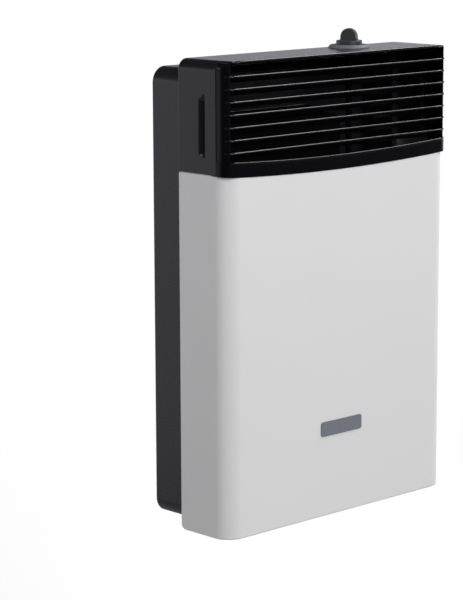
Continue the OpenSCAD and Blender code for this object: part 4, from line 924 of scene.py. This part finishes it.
FLOOR_DROP = 0.35
FLOOR_R = 2.3
FLOOR_FADE_START = 0.7
FLOOR_FADE_STOP = 2.1
FLOOR_TONE = 0.42
FLOOR_GLOW = 0.72

# What the world gives by height, from -1 straight down to 1 straight up, as light and in reflections
AMBIENT_TONES = ((-1.0, 0.24), (-0.1, 0.30), (0.1, 0.36), (0.5, 0.22), (1.0, 0.16))
AMBIENT_BLUE = 1.02
MIRRORED_TONES = ((-1.0, 0.05), (-0.45, 0.18), (-0.24, 0.72), (-0.12, 0.86), (0.0, 1.0),
                  (0.20, 1.0), (0.29, 0.24), (0.40, 0.05), (1.0, 0.02))
MIRRORED_BLUE = 1.07


def floor_material():
    """A pale floor that keeps the object's shadow and fades into the white backdrop further out."""
    material = bpy.data.materials.new("floor")
    material.use_nodes = True
    shading = Shading(material.node_tree)
    shading.tree.nodes.clear()
    diffuse = shading.node("ShaderNodeBsdfDiffuse")
    diffuse.inputs["Color"].default_value = (FLOOR_TONE, FLOOR_TONE, FLOOR_TONE, 1)
    glow = shading.node("ShaderNodeEmission")
    glow.inputs["Color"].default_value = (1, 1, 1, 1)
    seen = shading.seen_plainly(shading.node("ShaderNodeLightPath"))
    shading.link(shading.maths("MULTIPLY", seen, FLOOR_GLOW), glow.inputs["Strength"])
    both = shading.node("ShaderNodeAddShader")
    shading.link(diffuse.outputs[0], both.inputs[0])
    shading.link(glow.outputs[0], both.inputs[1])
    reach = shading.node("ShaderNodeVectorMath", operation="LENGTH")
    shading.link(shading.node("ShaderNodeTexCoord").outputs["Object"], reach.inputs[0])
    fade = shading.spread(reach.outputs["Value"], 0.0, 1.0, FLOOR_FADE_START, FLOOR_FADE_STOP,
                          interpolation_type="SMOOTHSTEP")
    clear = shading.node("ShaderNodeBsdfTransparent")
    out = shading.node("ShaderNodeOutputMaterial")
    shading.link(shading.mixed(fade, both.outputs[0], clear.outputs[0]), out.inputs["Surface"])
    return material


def add_floor():
    bm = bmesh.new()
    bmesh.ops.create_circle(bm, cap_ends=True, radius=FLOOR_R, segments=96)
    floor = mesh_object("floor", bm)
    floor.location = (0, 0, BASE_Z - FLOOR_DROP)
    floor.data.materials.append(floor_material())


def gradient(shading, height, stops, blue):
    """A background whose tone follows the height, from -1 to 1."""
    ramp = shading.node("ShaderNodeValToRGB")
    shading.link(shading.spread(height, 0.0, 1.0, -1.0, 1.0), ramp.inputs["Fac"])
    elements = ramp.color_ramp.elements
    while len(elements) < len(stops):
        elements.new(0.5)
    for element, (level, tone) in zip(elements, stops):
        element.position = (level + 1) / 2
        element.color = (tone, tone, tone * blue, 1)
    made = shading.node("ShaderNodeBackground")
    shading.link(ramp.outputs["Color"], made.inputs["Color"])
    return made


def mirrored_strength(shading, x, y):
    """The reflections' strength by direction: full behind, dimmer at the right rear, dark in front."""
    behind = shading.maths("ADD", y, shading.maths("MULTIPLY", x, 0.5))
    backdrop = shading.spread(behind, low=0.03, high=1.0, start=-0.3, stop=0.3)
    to_right = shading.spread(x, low=0.0, high=1.0, start=-0.2, stop=0.5)
    to_back = shading.spread(y, low=0.0, high=1.0, start=0.2, stop=0.5)
    right_back = shading.maths("MULTIPLY", to_right, to_back)
    dimming = shading.spread(right_back, low=1.0, high=0.62, start=0.0, stop=1.0)
    far_right = shading.spread(x, low=0.90, high=1.16, start=0.68, stop=0.76)
    return shading.maths("MULTIPLY", shading.maths("MULTIPLY", backdrop, dimming), far_right)


def add_world():
    """White to the camera and through glass, a graded surround in reflections, and otherwise a soft light."""
    world = bpy.data.worlds.new("studio")
    bpy.context.scene.world = world
    world.use_nodes = True
    shading = Shading(world.node_tree)
    shading.tree.nodes.clear()
    way = shading.split(shading.node("ShaderNodeTexCoord").outputs["Generated"])
    ambient = gradient(shading, way["Z"], AMBIENT_TONES, AMBIENT_BLUE)
    mirrored = gradient(shading, way["Z"], MIRRORED_TONES, MIRRORED_BLUE)
    shading.link(mirrored_strength(shading, way["X"], way["Y"]), mirrored.inputs["Strength"])
    white = shading.node("ShaderNodeBackground")
    white.inputs["Color"].default_value = (1, 1, 1, 1)
    path = shading.node("ShaderNodeLightPath")
    lighting = shading.mixed(path.outputs["Is Glossy Ray"], ambient.outputs[0], mirrored.outputs[0])
    surface = shading.mixed(shading.seen_plainly(path), lighting, white.outputs[0])
    shading.link(surface, shading.node("ShaderNodeOutputWorld").inputs["Surface"])


def add_lamp(name, at, target, size, power):
    data = bpy.data.lights.new(name, "AREA")
    data.shape = "RECTANGLE"
    data.size, data.size_y = size
    data.energy = power
    lamp = bpy.data.objects.new(name, data)
    lamp.location = at
    lamp.rotation_euler = (Vector(target) - Vector(at)).to_track_quat("-Z", "Y").to_euler()
    bpy.context.scene.collection.objects.link(lamp)


add_floor()
add_world()
add_lamp("key", at=(-0.2, -2.8, 1.35), target=(0, 0, 0.1), size=(1.6, 1.6), power=50.5)
add_lamp("right_above", at=(2.38, -0.78, 2.69), target=(0, -0.15, 0.2), size=(2.3, 0.9), power=70)
add_lamp("left_fill", at=(-1.9, 0.25, 1.75), target=(0, 0, 0.1), size=(1.4, 1.4), power=13.5)

bpy.context.scene.view_settings.view_transform = "Standard"
